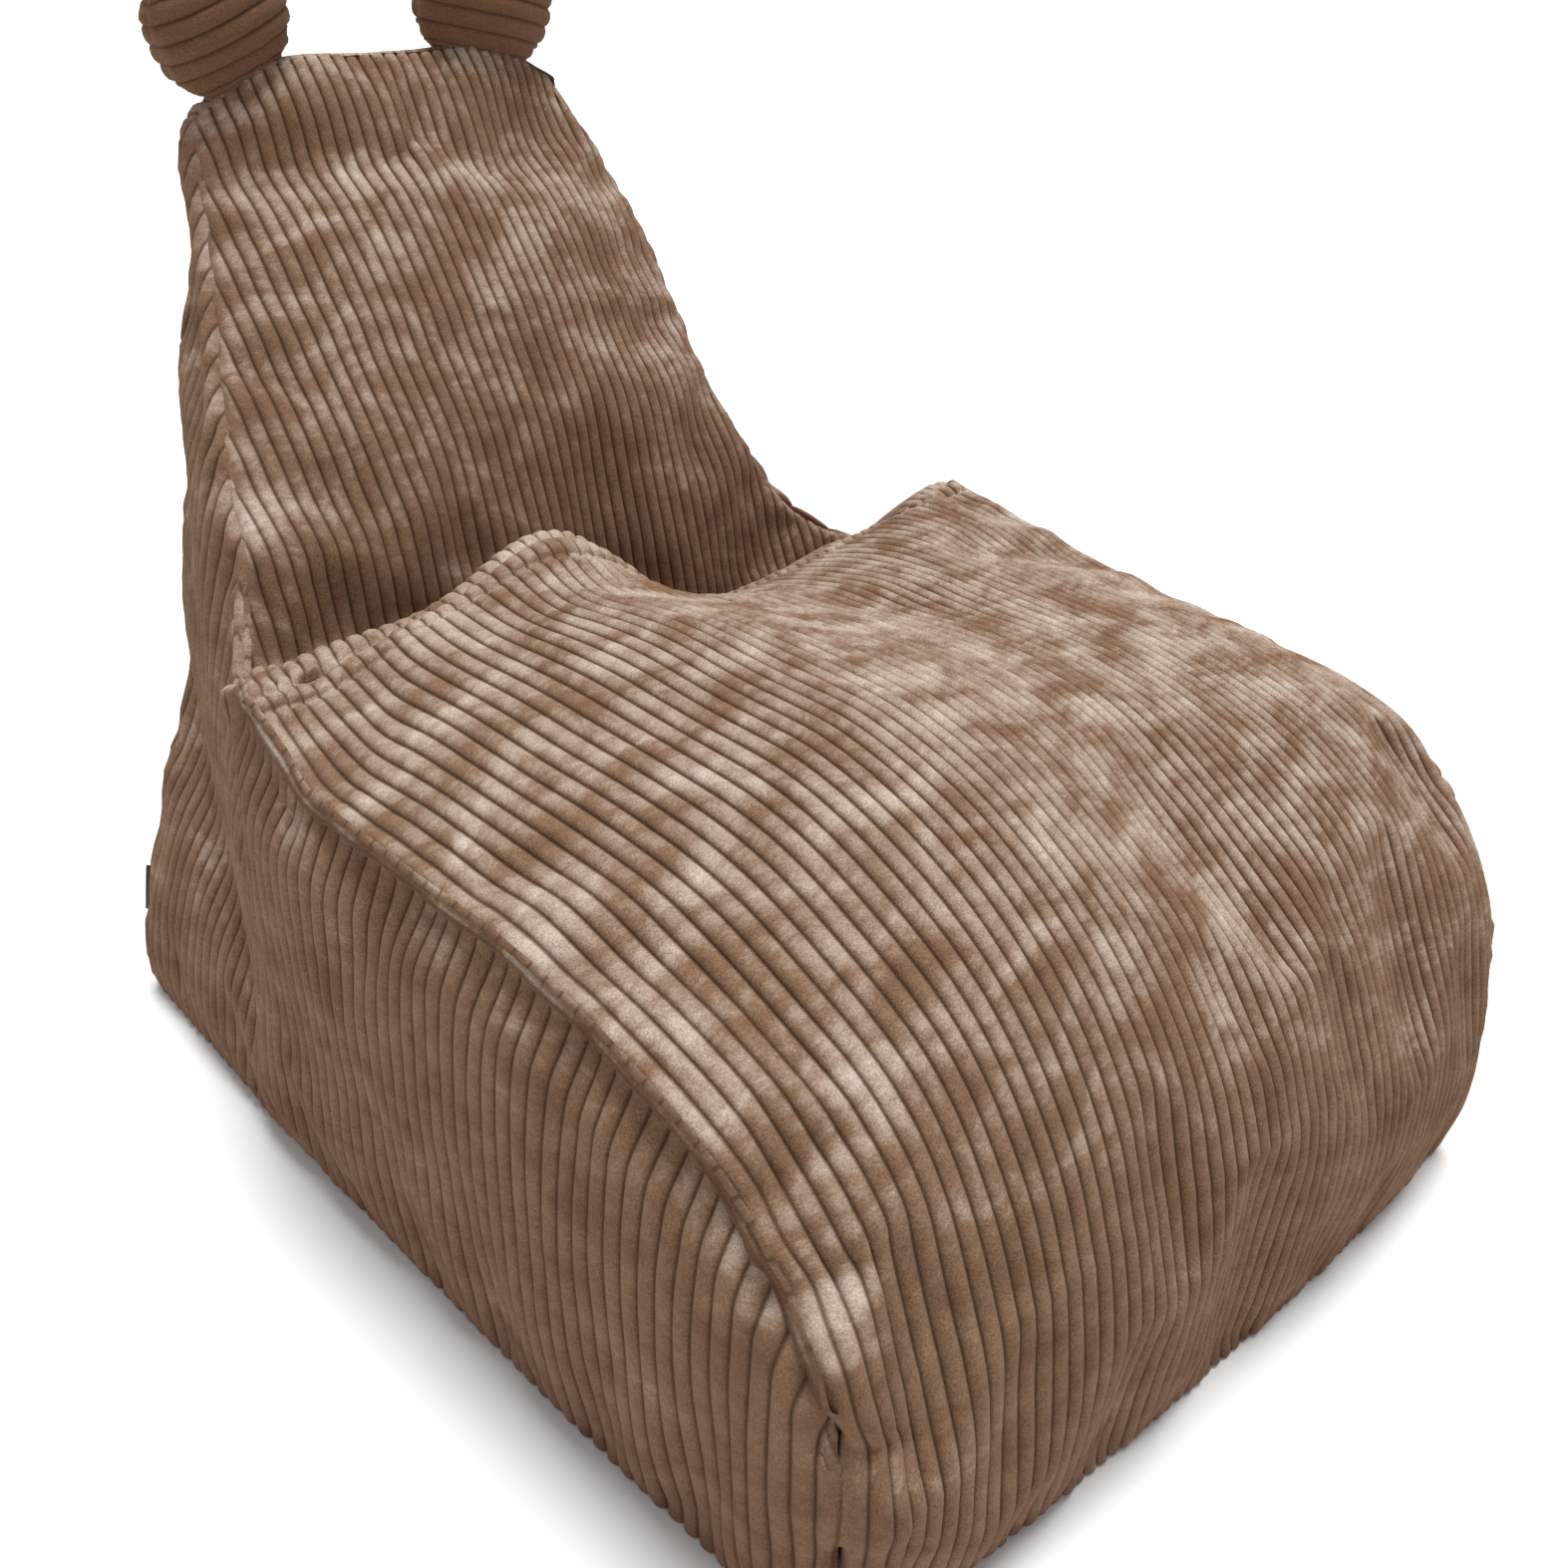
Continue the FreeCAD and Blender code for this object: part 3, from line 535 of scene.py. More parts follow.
def wrapPanel(name, first, last, followSeams=False, **more):
    flat = flatWrap[first:last + 1]
    x = flat[..., 0]
    if followSeams:
        x = np.broadcast_to(np.linspace(-bagWide / 2, bagWide / 2, x.shape[1])[None], x.shape)
    return panelMesh(name, wrapLoop[first:last + 1], cutAcross(x), lengthsDown(flat), **more)


def joinPieces(first, *others):
    whole = bmesh.new()
    for piece in (first, *others):
        whole.from_mesh(piece.data)
    whole.to_mesh(first.data)
    whole.free()
    for piece in others:
        bpy.data.objects.remove(piece)
    return first


# the zip lies across the rear panel: the panels' edges part there and meet again past its ends
zipSlot = {"height": 55.0, "half": 6.5, "end": 201.0, "turn": 7.0}
rearFlat = flatWrap[rowTop:rowRearEnd + 1]
rearUp = rearFlat[:, midColumn, 2]
slotX = np.linspace(-0.3, 0.3, 601)


def rowAtHeight(height):
    return float(np.interp(-height, -rearUp, np.arange(len(rearUp))))


def slotEdge(side):
    # the row where a rear panel stops, for a wale this far across
    def edge(s):
        x = np.interp(s, cutAcross(slotX), slotX)
        gap = zipSlot["half"] * (1 - smoothStep((abs(x) / mm - zipSlot["end"]) / zipSlot["turn"])) + 0.2
        return rowAtHeight((zipSlot["height"] + side * gap) * mm)
    return edge


rearAlong, rearAcross = lengthsDown(rearFlat), cutAcross(rearFlat[..., 0])
rearShape = wrapLoop[rowTop:rowRearEnd + 1]
panels = {
    "seatPanel": joinPieces(wrapPanel("seatPanel", 0, rowRidge, True, stitch=15, flatEnds=("start",)),
                            wrapPanel("seatRear", rowRidge, rowSeatEnd, True)),
    "backrestPanel": wrapPanel("backrestPanel", rowSeatEnd, rowTop),
    "rearPanelUpper": panelMesh("rearPanelUpper", rearShape, rearAcross, rearAlong, cutEnd=slotEdge(1)),
    "rearPanelLower": panelMesh("rearPanelLower", rearShape, rearAcross, rearAlong, cutStart=slotEdge(-1),
                                flatEnds=("end",)),
    "basePanel": wrapPanel("basePanel", rowRearEnd, loopRows),
    "leftSidePanel": panelMesh("leftSidePanel", leftShape, flatLeft[..., 1], flatLeft[..., 2], True,
                               flatEnds=("start",)),
    "rightSidePanel": panelMesh("rightSidePanel", rightShape, flatRight[..., 1], flatRight[..., 2],
                                flatEnds=("start",)),
}
print("corduroy panels ready")

# ---- inner liner and beads, inside the cover ----

inner = {"liner": 9.0, "beads": 13.0, "atSeams": 1.35, "zipHeight": 421.0, "zipHalf": 128.0, "zipIn": 11.4,
         "beadsBehindZip": 3.5}
rearPlane = {"foot": 303, "lean": 0.135}    # mm at the floor, and how far it leans back as it rises
crease = {"y": 0.146, "z": 0.28, "wide": 0.026, "deeper": 1.6, "narrower": 0.05}    # where seat meets backrest


def plainPiece(name, points, faces):
    mesh = bpy.data.meshes.new(name)
    mesh.from_pydata(np.asarray(points).tolist(), [], [tuple(int(n) for n in f) for f in faces])
    mesh.polygons.foreach_set("use_smooth", [True] * len(mesh.polygons))
    piece = bpy.data.objects.new(name, mesh)
    bpy.context.scene.collection.objects.link(piece)
    return piece


def coarseNormals():
    quads = np.array(coarseFaces)
    corners = coarse[quads]
    faceNormal = np.cross(corners[:, 2] - corners[:, 0], corners[:, 3] - corners[:, 1])
    faceNormal /= np.maximum(np.linalg.norm(faceNormal, axis=1, keepdims=True), 1e-12)
    total = np.zeros_like(coarse)
    for k in range(4):
        np.add.at(total, quads[:, k], faceNormal)
    return total / np.maximum(np.linalg.norm(total, axis=1, keepdims=True), 1e-9)


def movedIn(depth, zipDepth):
    # the coarse bag moved inward, with a flat place behind the liner's zip
    scale = np.ones(len(coarse))
    scale[seamPoints] = inner["atSeams"]
    points = coarse - coarseNormals() * (depth * mm * scale)[:, None]
    inCrease = np.exp(-((coarse[:, 1] - crease["y"]) / crease["wide"]) ** 2
                      - ((coarse[:, 2] - crease["z"]) / crease["wide"]) ** 2)
    points[:, 2] -= inCrease * depth * crease["deeper"] * mm
    points[:, 0] *= 1 - crease["narrower"] * inCrease
    rearFace = (rearPlane["foot"] + rearPlane["lean"] * points[:, 2] / mm - zipDepth) * mm
    near = smoothStep(1.6 - np.abs(points[:, 2] / mm - inner["zipHeight"]) / 26)
    near *= smoothStep((inner["zipHalf"] + 14 - np.abs(points[:, 0] / mm)) / 12)
    behind = points[:, 1] > rearFace
    points[:, 1] = np.where(behind, points[:, 1] * (1 - near) + rearFace * near, points[:, 1])
    return points


seamPoints = sorted(
    set(n for table in sideTables for n in (*table[0], *table[-1], *table[:, 0], *table[:, -1]))
    | set(loopIndex(r, c) for r in (0, rowTop, rowRearEnd) for c in range(cells["across"] + 1))
)
linerPoints = movedIn(inner["liner"], inner["zipIn"])
linerWrap = linerPoints[:loopRows * (cells["across"] + 1)].reshape(loopRows, cells["across"] + 1, 3)
linerLoop = np.vstack([linerWrap, linerWrap[:1]])


def gridPiece(name, grid, flip=False):
    rows, cols = grid.shape[:2]
    index = np.arange(rows * cols).reshape(rows, cols)
    quads = np.stack([index[:-1, :-1], index[:-1, 1:], index[1:, 1:], index[1:, :-1]], -1).reshape(-1, 4)
    return plainPiece(name, grid.reshape(-1, 3), quads[:, ::-1] if flip else quads)


linerPieces = {
    "linerSeat": (gridPiece("linerSeat", linerLoop[:rowSeatEnd + 1]), "liner_seat_strip"),
    "linerBackrest": (gridPiece("linerBackrest", linerLoop[rowSeatEnd:rowTop + 1]), "liner_backrest_strip"),
    "linerRear": (gridPiece("linerRear", linerLoop[rowTop:rowRearEnd + 1]), "liner_rear_strip"),
    "linerBase": (gridPiece("linerBase", linerLoop[rowRearEnd:]), "liner_base_panel"),
    "linerLeft": (gridPiece("linerLeft", linerPoints[sideTables[0]], True), "liner_left_panel"),
    "linerRight": (gridPiece("linerRight", linerPoints[sideTables[1]]), "liner_right_panel"),
}
beads = plainPiece("beadFill", movedIn(inner["beads"], inner["zipIn"] + inner["beadsBehindZip"]), coarseFaces)
print("liner and beads ready")

# ---- ears: two corduroy discs sewn round a soft filling, gathered into the top seam ----

ears = {
    "left": {"root": (-102, 370, 580), "tilt": 21.0, "radius": 49.0, "centre": 37.0, "turn": 4.0},
    "right": {"root": (71, 370, 585), "tilt": -12.0, "radius": 53.0, "centre": 37.0, "turn": -3.0},
}
earShape = {"half": 24.0, "rootHalf": 9.0, "cellsLong": 36, "cellsTall": 30, "gather": 2.2,
            "gatherPitch": 15.0, "sag": 3.0, "fillIn": 7.0}


def earPanel(side, front, inset=0.0):
    # local h along the wales, v up from the root; returns the grid and its flat coordinates
    ear = ears[side]
    radius, centre = ear["radius"] - inset, ear["centre"]
    h = np.linspace(-radius * 0.992, radius * 0.992, earShape["cellsLong"] + 1)[:, None]
    chord = np.sqrt(radius**2 - h**2)
    low, high = np.maximum(centre - chord, 0.0 + inset), centre + chord
    q = np.linspace(0, 1, earShape["cellsTall"] + 1)[None]
    v = low * (1 - q) + high * q
    h = np.broadcast_to(h, v.shape)
    rho = np.sqrt(h**2 + (v - centre)**2) / radius
    rounding = np.clip(1 - rho**2.2, 0, 1) ** 0.62
    # near the root the thickness shrinks to the gathered neck
    rise = smoothStep(v / (centre * 0.9))
    neck = earShape["rootHalf"] * np.sqrt(np.clip(1 - (h / (0.8 * radius))**2, 0, 1))
    thick = (earShape["half"] - inset) * rounding
    thick = thick * rise + np.minimum(thick, neck) * (1 - rise)
    gathers = np.cos(h * 2 * np.pi / earShape["gatherPitch"]) * np.exp(-v / 13)
    thick = thick + earShape["gather"] * gathers * rounding
    thick = thick + earShape["sag"] * np.exp(-(((h - 8) / 22)**2) - ((v - 22) / 9)**2) * rounding
    sign = -1 if front else 1
    a, b = math.radians(ear["tilt"]), math.radians(ear["turn"])
    along = np.array([math.cos(a) * math.cos(b), math.sin(b), math.sin(a) * math.cos(b)])
    up = np.array([-math.sin(a), 0, math.cos(a)])
    out = np.cross(up, along)
    points = np.array(ear["root"]) + h[..., None] * along + v[..., None] * up
    points = points + (sign * thick)[..., None] * out
    return points * mm, v * mm, h * mm


earPieces = {}
for side in ears:
    for front in (True, False):
        name = f"{side}Ear{'Front' if front else 'Back'}"
        shape, flatAcross, flatAlong = earPanel(side, front)
        earPieces[name] = (panelMesh(name, shape, flatAcross, flatAlong, flip=front), side, front)
    frontGrid, backGrid = (earPanel(side, front, earShape["fillIn"])[0] for front in (True, False))
    rows, cols = frontGrid.shape[:2]
    index = np.arange(rows * cols).reshape(rows, cols)
    quads = np.stack([index[:-1, :-1], index[:-1, 1:], index[1:, 1:], index[1:, :-1]], -1).reshape(-1, 4)
    fill = plainPiece(side + "EarFill", np.vstack([frontGrid.reshape(-1, 3), backGrid.reshape(-1, 3)]),
                      np.vstack([quads[:, ::-1], quads + rows * cols]))
    earPieces[side + "EarFill"] = (fill, side, None)
print("ears ready")

# ---- materials ----


def addNode(tree, kind, settings=None, inputs=None):
    # one node with its settings and its inputs: a value, or a socket to link from
    node = tree.nodes.new(kind)
    for key, value in (settings or {}).items():
        setattr(node, key, value)
    for key, value in (inputs or {}).items():
        if isinstance(value, bpy.types.NodeSocket):
            tree.links.new(value, node.inputs[key])
        else:
            node.inputs[key].default_value = value
    return node


def newMaterial(name):
    material = bpy.data.materials.new(name)
    material.use_nodes = True
    material.node_tree.nodes.clear()
    return material, material.node_tree


def dress(piece, material):
    piece.data.materials.clear()
    piece.data.materials.append(material)


# the darkest colour goes into the grooves: partly their bare ground weave, partly painted shade
pile = {"grooveShade": "49301f", "body": "654835", "middle": "7e624d", "brushed": "b9a99b", "tuft": 1.1,
        "across": 62.0, "along": 34.0, "step": 9.0}


# the last argument lowers the whole tone; a negative value is painted shade
def corduroyVelvet(name, paintedShade=0.0):
    # cotton corduroy, woven with floats that are cut and brushed up into pile:
    # matt, soft, pale at grazing angles
    material, tree = newMaterial(name)
    uv = addNode(tree, "ShaderNodeUVMap", {"uv_map": "cloth"})
    place = addNode(tree, "ShaderNodeTexCoord")
    split = addNode(tree, "ShaderNodeSeparateXYZ", inputs={0: uv.outputs[0]})
    phase = addNode(tree, "ShaderNodeMath", {"operation": "MULTIPLY_ADD"}, {
        0: split.outputs[0], 1: 1 / (cord["pitch"] * mm), 2: 0.5})
    fract = addNode(tree, "ShaderNodeMath", {"operation": "FRACT"}, {0: phase.outputs[0]})
    number = addNode(tree, "ShaderNodeMath", {"operation": "FLOOR"}, {0: phase.outputs[0]})
    # patches where hands have brushed the pile: wide across the wales, short along them,
    # stepped from wale to wale
    waleAt = addNode(tree, "ShaderNodeCombineXYZ", inputs={0: number.outputs[0], 1: split.outputs[1]})
    waleShift = addNode(tree, "ShaderNodeTexNoise", inputs={
        "Vector": waleAt.outputs[0], "Scale": 17.3, "Detail": 2.0, "Roughness": 0.5})
    shifted = addNode(tree, "ShaderNodeMath", {"operation": "MULTIPLY_ADD"}, {
        0: waleShift.outputs[0], 1: pile["step"] * mm, 2: split.outputs[1]})
    stretched = addNode(tree, "ShaderNodeMath", {"operation": "MULTIPLY"}, {
        0: shifted.outputs[0], 1: pile["across"] / pile["along"]})
    patchAt = addNode(tree, "ShaderNodeCombineXYZ", inputs={
        0: split.outputs[0], 1: stretched.outputs[0]})
    patches = addNode(tree, "ShaderNodeTexNoise", inputs={
        "Vector": patchAt.outputs[0], "Scale": 1000 / pile["across"], "Detail": 7.0, "Roughness": 0.7,
        "Distortion": 0.35})
    # the patches show most on what faces up, partly as brushed wear where people sit and partly as painted
    # sheen; up-facing surfaces are also lighter in tone, a painted highlight
    face = addNode(tree, "ShaderNodeNewGeometry")
    facing = addNode(tree, "ShaderNodeSeparateXYZ", inputs={0: face.outputs["Normal"]})
    wearAndSheen = addNode(tree, "ShaderNodeMapRange", {"interpolation_type": "SMOOTHSTEP"}, {
        "Value": facing.outputs[2], "From Min": -0.1, "From Max": 0.8, "To Min": 0.36, "To Max": 0.56})
    # painted highlight: the tone rises on surfaces that face up, as if lit from above
    paintedTopLight = addNode(tree, "ShaderNodeMapRange", {"interpolation_type": "SMOOTHSTEP"}, {
        "Value": facing.outputs[2], "From Min": 0.1, "From Max": 0.95,
        "To Min": 0.455 + paintedShade, "To Max": 0.55 + paintedShade})
    centredTone = addNode(tree, "ShaderNodeMath", {"operation": "SUBTRACT"}, {
        0: patches.outputs[0], 1: 0.5})
    tone = addNode(tree, "ShaderNodeMath", {"operation": "MULTIPLY_ADD"}, {
        0: centredTone.outputs[0], 1: wearAndSheen.outputs[0], 2: paintedTopLight.outputs[0]})
    patchRamp = addNode(tree, "ShaderNodeValToRGB", inputs={0: tone.outputs[0]})
    ramp = patchRamp.color_ramp
    ramp.elements[0].position, ramp.elements[0].color = 0.4, linear(pile["body"])
    ramp.elements[1].position, ramp.elements[1].color = 0.64, linear(pile["brushed"])
    middle = ramp.elements.new(0.5)
    middle.color = linear(pile["middle"])
    grain = addNode(tree, "ShaderNodeTexNoise", inputs={
        "Vector": place.outputs["Object"], "Scale": 1000 / pile["tuft"], "Detail": 3.0, "Roughness": 0.75})
    grainTone = addNode(tree, "ShaderNodeMapRange", inputs={
        "Value": grain.outputs[0], "From Min": 0.3, "From Max": 0.7, "To Min": 0.6, "To Max": 1.4})
    speckled = addNode(tree, "ShaderNodeMix", {"data_type": "RGBA", "blend_type": "MULTIPLY"}, {
        "Factor": 1.0, "A": patchRamp.outputs[0], "B": grainTone.outputs[0]})
    # the groove between two wales is darkened: partly its bare ground weave, partly painted shade in the
    # recess
    centred = addNode(tree, "ShaderNodeMath", {"operation": "MULTIPLY_ADD"}, {
        0: fract.outputs[0], 1: 2.0, 2: -1.0})
    side = addNode(tree, "ShaderNodeMath", {"operation": "ABSOLUTE"}, {0: centred.outputs[0]})
    grooveShadeMask = addNode(tree, "ShaderNodeMapRange", {"interpolation_type": "SMOOTHSTEP"}, {
        "Value": side.outputs[0], "From Min": 0.72, "From Max": 1.0, "To Min": 0.0, "To Max": 0.7})
    colour = addNode(tree, "ShaderNodeMix", {"data_type": "RGBA"}, {
        "Factor": grooveShadeMask.outputs[0], "A": speckled.outputs["Result"], "B": linear(pile["grooveShade"])})
    bump = addNode(tree, "ShaderNodeBump", inputs={
        "Strength": 0.7, "Distance": 0.0012, "Height": grain.outputs[0]})
    shader = addNode(tree, "ShaderNodeBsdfPrincipled", inputs={
        "Base Color": colour.outputs["Result"], "Roughness": 0.95, "Sheen Weight": 0.12,
        "Sheen Roughness": 0.4, "Specular IOR Level": 0.15, "Normal": bump.outputs[0]})
    shader.inputs["Sheen Tint"].default_value = linear("d9c4b0")
    addNode(tree, "ShaderNodeOutputMaterial", inputs={"Surface": shader.outputs[0]})
    return material


# the ears get a copy of the corduroy 0.1 darker in tone: painted shade, for ears that sit in shade
corduroy, earCorduroyShaded = corduroyVelvet("cottonCorduroy"), corduroyVelvet("cottonCorduroyEarsShaded", -0.1)


def plainCloth(name, colour, roughness):
    material, tree = newMaterial(name)
    shader = addNode(tree, "ShaderNodeBsdfPrincipled", inputs={
        "Base Color": linear(colour), "Roughness": roughness})
    addNode(tree, "ShaderNodeOutputMaterial", inputs={"Surface": shader.outputs[0]})
    return material


linerCloth = plainCloth("polyesterLiner", "dcd6cc", 0.7)
foam = plainCloth("polystyreneBeads", "f2f0ec", 0.6)
fibre = plainCloth("polyesterFibre", "efece6", 0.95)
covers = {
    "seatPanel": ["seat_panel"], "backrestPanel": ["backrest_panel"], "basePanel": ["base_panel"],
    "rearPanelUpper": ["rear_panel_upper"], "rearPanelLower": ["rear_panel_lower"],
    "leftSidePanel": ["left_side_panel"], "rightSidePanel": ["right_side_panel"],
}
for name, nodes in covers.items():
    piece = panels[name]
    dress(piece, corduroy)
    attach(piece, "bag")
    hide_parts(*nodes)
for piece, node in linerPieces.values():
    dress(piece, linerCloth)
    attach(piece, "bag")
    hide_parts(node)
dress(beads, foam)
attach(beads, "bag")
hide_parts("bead_fill")
for name, (piece, side, front) in earPieces.items():
    if front is None:
        dress(piece, fibre)
        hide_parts(side + "_ear_fill")
    else:
        dress(piece, earCorduroyShaded)
        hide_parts(f"{side}_ear_{'front' if front else 'back'}")
    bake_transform(piece)

# ---- cover zip: woven tapes, two rows of nylon teeth, painted slider and pull tab ----

zipParts = {"tooth": (0.62, 0.95, 1.7), "pitch": 1.5}


def wovenTape():
    # narrow woven polyester, a fine herringbone that dulls its shine
    material, tree = newMaterial("wovenTape")
    place = addNode(tree, "ShaderNodeTexCoord")
    weave = addNode(tree, "ShaderNodeTexWave", {"bands_direction": "DIAGONAL"}, {
        "Vector": place.outputs["Object"], "Scale": 420.0, "Distortion": 1.5, "Detail": 1.0})
    bump = addNode(tree, "ShaderNodeBump", inputs={
        "Strength": 0.5, "Distance": 0.0003, "Height": weave.outputs[1]})
    shader = addNode(tree, "ShaderNodeBsdfPrincipled", inputs={
        "Base Color": linear("5f4636"), "Roughness": 0.8, "Normal": bump.outputs[0]})
    addNode(tree, "ShaderNodeOutputMaterial", inputs={"Surface": shader.outputs[0]})
    return material


def solidMaterial(name, colour, roughness, metallic=0.0):
    material, tree = newMaterial(name)
    shader = addNode(tree, "ShaderNodeBsdfPrincipled", inputs={
        "Base Color": linear(colour), "Roughness": roughness, "Metallic": metallic})
    addNode(tree, "ShaderNodeOutputMaterial", inputs={"Surface": shader.outputs[0]})
    return material


tape = wovenTape()
nylon = solidMaterial("nylonCoil", "5a4232", 0.42)          # moulded nylon, smooth with a soft shine
zinc = solidMaterial("paintedZinc", "6b6058", 0.38, 0.55)   # cast zinc under a thin grey-brown paint


def toothRow(node, side):
    # rounded teeth, one beside another, along the length of the coil
    low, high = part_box(node)
    tooth = bmesh.new()
    bmesh.ops.create_uvsphere(tooth, u_segments=8, v_segments=6, radius=1)
    base = np.array([v.co for v in tooth.verts])
    faces = [[v.index for v in f.verts] for f in tooth.faces]
    tooth.free()
    size = np.array(zipParts["tooth"]) * mm
    count = int((high[0] - low[0]) / (zipParts["pitch"] * mm))
    middle = (np.array(low) + np.array(high)) / 2
    points, quads = [], []
    for k in range(count):
        x = low[0] + (k + 0.5 + 0.25 * side) * zipParts["pitch"] * mm
        points.append(base * size + (x, middle[1], middle[2] - side * 0.4 * mm))
        quads += [[i + k * len(base) for i in face] for face in faces]
    piece = plainPiece("zipTeeth" + ("Upper" if side > 0 else "Lower"), np.vstack(points), quads)
    dress(piece, nylon)
    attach(piece, "bag")
    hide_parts(node)


toothRow("cover_zip_upper_coil", 1)
toothRow("cover_zip_lower_coil", -1)
for zipName in ("cover_zip", "liner_zip"):
    for part, material in (("upper_tape", tape), ("lower_tape", tape), ("left_stop", zinc),
                           ("right_stop", zinc), ("slider", zinc)):
        dress(bpy.data.objects[f"{zipName}_{part}"], material)
for node, material in (("cover_zip_puller", zinc), ("liner_zip_upper_coil", nylon),
                       ("liner_zip_lower_coil", nylon)):
    dress(bpy.data.objects[node], material)
print("zips ready")

# ---- side label: a strip of woven tape folded in two and caught in the rear left seam ----

tab = {"hinge": (-260.9, 313.0, 70.1), "along": (0.2439, 0.1297, 0.9611), "out": (-0.690, 0.720, 0.078),
       "tall": 32.0, "reach": 7.0, "inside": 3.0, "layer": 0.5, "gap": 0.5, "curl": 1.6}


def sideTab():
    along, out = np.array(tab["along"]), np.array(tab["out"])
    across = np.cross(along, out)
    reach = np.linspace(-tab["inside"], tab["reach"] - 1, 14)
    outer = tab["gap"] / 2 + tab["layer"]
    turn = np.linspace(math.pi / 2, -math.pi / 2, 9)
    # the strip's section: out along one face, round the fold, back along the other, then the same inside
    fold = tab["reach"] - 1
    skin = [(r, outer) for r in reach]
    skin += [(fold + outer * math.cos(a), outer * math.sin(a)) for a in turn]
    skin += [(r, -outer) for r in reach[::-1]]
    core = outer - tab["layer"]
    lining = [(r, -core) for r in reach]
    lining += [(fold + core * math.cos(a), -core * math.sin(a)) for a in turn]
    lining += [(r, core) for r in reach[::-1]]
    section = np.array(skin + lining)
    stations = np.linspace(-tab["tall"] / 2, tab["tall"] / 2, 19)
    points = []
    for h in stations:
        bend = tab["curl"] * (section[:, :1] / tab["reach"]) ** 2 * math.sin(h / tab["tall"] * 2.2 + 0.5)
        station = np.array(tab["hinge"]) + h * along
        points.append(station + section[:, :1] * out + (section[:, 1:] + bend) * across)
    count = len(section)
    faces = []
    for k in range(len(stations) - 1):
        for i in range(count):
            j = (i + 1) % count
            faces.append((k * count + i, k * count + j, (k + 1) * count + j, (k + 1) * count + i))
    half = len(skin)
    for k, turned in ((0, False), (len(stations) - 1, True)):
        for i in range(half - 1):
            quad = [k * count + i, k * count + i + 1, k * count + count - 2 - i, k * count + count - 1 - i]
            faces.append(quad[::-1] if turned else quad)
    return plainPiece("sideLabel", np.vstack(points) * mm, faces)


def wovenLabel():
    # damask label, polyester satin: fine ribs across, a little shine
    material, tree = newMaterial("damaskLabel")
    place = addNode(tree, "ShaderNodeTexCoord")
    rib = addNode(tree, "ShaderNodeTexWave", {"bands_direction": "Z"}, {
        "Vector": place.outputs["Object"], "Scale": 500.0, "Distortion": 0.4, "Detail": 1.0})
    bump = addNode(tree, "ShaderNodeBump", inputs={
        "Strength": 0.35, "Distance": 0.0002, "Height": rib.outputs[1]})
    shader = addNode(tree, "ShaderNodeBsdfPrincipled", inputs={
        "Base Color": linear("2f3330"), "Roughness": 0.6, "Normal": bump.outputs[0]})
    addNode(tree, "ShaderNodeOutputMaterial", inputs={"Surface": shader.outputs[0]})
    return material


label = sideTab()
dress(label, wovenLabel())
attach(label, "label_tab")
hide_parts("side_label")
print("label ready")

# ---- studio ----

studio = {"floorSize": 60.0, "focal": 39.8, "sensor": 36.0, "zenith": 0.5, "horizon": 0.22,
          "haze": 0.75, "hazeTop": 0.32, "sun": 3.95, "sunSoft": 30.0, "sunFrom": (0.12, 0.02, 1.0)}


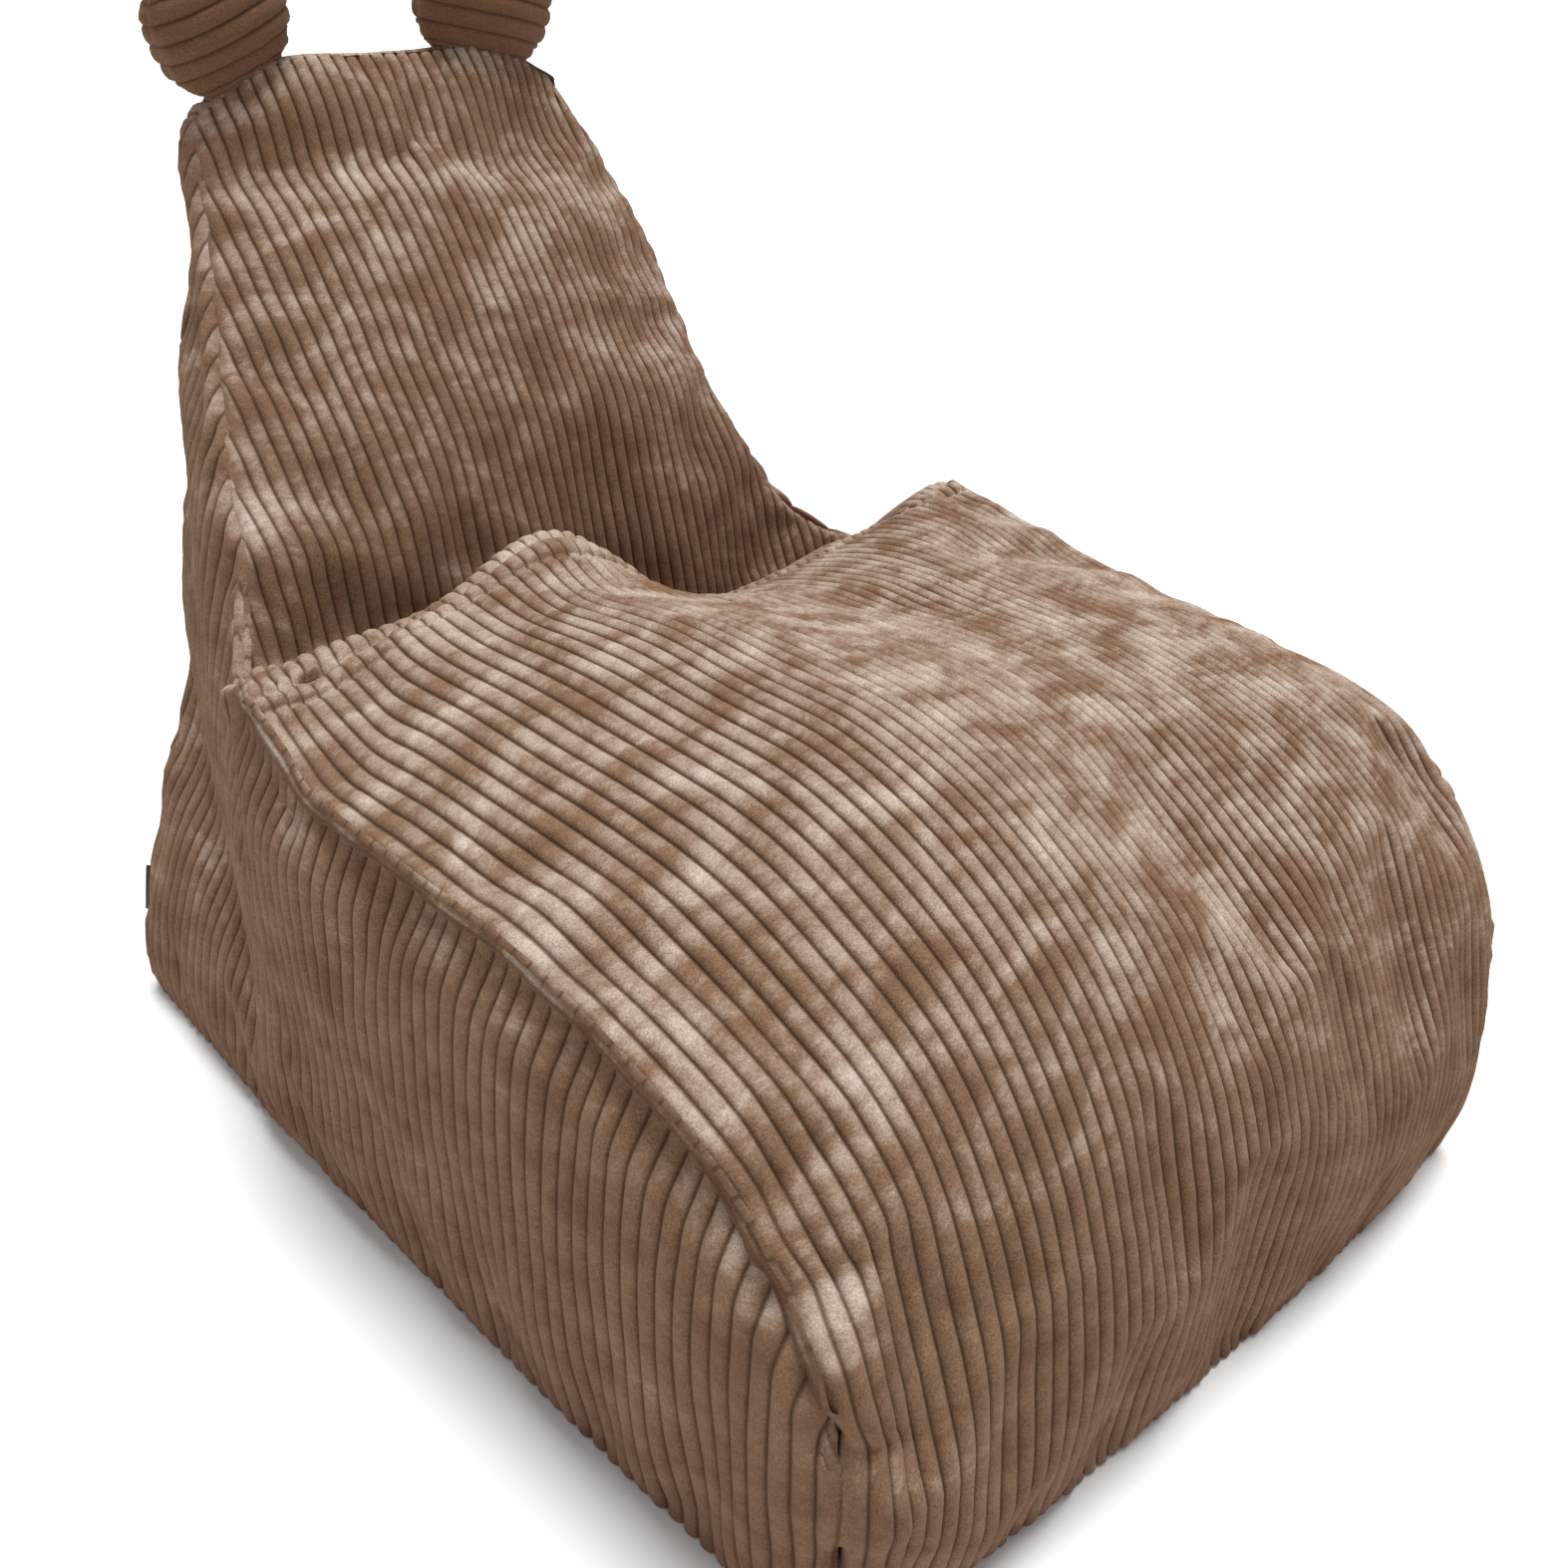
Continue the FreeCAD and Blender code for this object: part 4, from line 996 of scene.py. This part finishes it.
def buildStudio():
    mesh = bpy.data.meshes.new("studioFloor")
    half = studio["floorSize"] / 2
    corners = [(-half, -half, 0), (half, -half, 0), (half, half, 0), (-half, half, 0)]
    mesh.from_pydata(corners, [], [(0, 1, 2, 3)])
    floor = bpy.data.objects.new("studioFloor", mesh)
    bpy.context.scene.collection.objects.link(floor)
    # painted board, even and matt
    material, tree = newMaterial("paintedBoard")
    shader = addNode(tree, "ShaderNodeBsdfPrincipled", inputs={
        "Base Color": linear("fbfbfa"), "Roughness": 0.9})
    addNode(tree, "ShaderNodeOutputMaterial", inputs={"Surface": shader.outputs[0]})
    dress(floor, material)
    # a white tent, brightest overhead
    world = bpy.data.worlds.new("lightTent")
    world.use_nodes = True
    tree = world.node_tree
    tree.nodes.clear()
    place = addNode(tree, "ShaderNodeTexCoord")
    split = addNode(tree, "ShaderNodeSeparateXYZ", inputs={0: place.outputs["Generated"]})
    strength = addNode(tree, "ShaderNodeMapRange", inputs={
        "Value": split.outputs[2], "From Min": 0.0, "From Max": 1.0,
        "To Min": studio["horizon"], "To Max": studio["zenith"]})
    # the tent's hem lies on the floor and takes its light, so it is pale down there
    haze = addNode(tree, "ShaderNodeMapRange", {"interpolation_type": "SMOOTHSTEP"}, inputs={
        "Value": split.outputs[2], "From Min": 0.1, "From Max": studio["hazeTop"],
        "To Min": studio["haze"], "To Max": 0.0})
    both = addNode(tree, "ShaderNodeMath", {"operation": "ADD"}, {
        0: strength.outputs[0], 1: haze.outputs[0]})
    background = addNode(tree, "ShaderNodeBackground", inputs={
        "Color": linear("ffffff"), "Strength": both.outputs[0]})
    addNode(tree, "ShaderNodeOutputWorld", inputs={"Surface": background.outputs[0]})
    bpy.context.scene.world = world
    lamp = bpy.data.lights.new("softBox", "SUN")
    lamp.energy, lamp.angle = studio["sun"], math.radians(studio["sunSoft"])
    light = bpy.data.objects.new("softBox", lamp)
    light.rotation_euler = Vector(studio["sunFrom"]).to_track_quat("Z", "Y").to_euler()
    bpy.context.scene.collection.objects.link(light)


viewpoint = {"at": (-0.6464, -0.7197, 0.7294), "yaw": 0.7617, "pitch": 0.5025, "roll": 0.0404}


def buildCamera():
    yaw, pitch, roll = viewpoint["yaw"], viewpoint["pitch"], viewpoint["roll"]
    look = Vector((math.sin(yaw) * math.cos(pitch), math.cos(yaw) * math.cos(pitch), -math.sin(pitch)))
    right = look.cross(Vector((0, 0, 1))).normalized()
    up = right.cross(look)
    turnedRight = math.cos(roll) * right + math.sin(roll) * up
    turnedUp = turnedRight.cross(look)
    data = bpy.data.cameras.new("viewCamera")
    data.lens, data.sensor_width = studio["focal"], studio["sensor"]
    camera = bpy.data.objects.new("viewCamera", data)
    turn = Matrix((turnedRight, turnedUp, -look)).transposed()
    camera.matrix_world = Matrix.Translation(Vector(viewpoint["at"])) @ turn.to_4x4()
    bpy.context.scene.collection.objects.link(camera)
    bpy.context.scene.camera = camera


buildStudio()
buildCamera()
bpy.context.scene.view_settings.view_transform = "Standard"
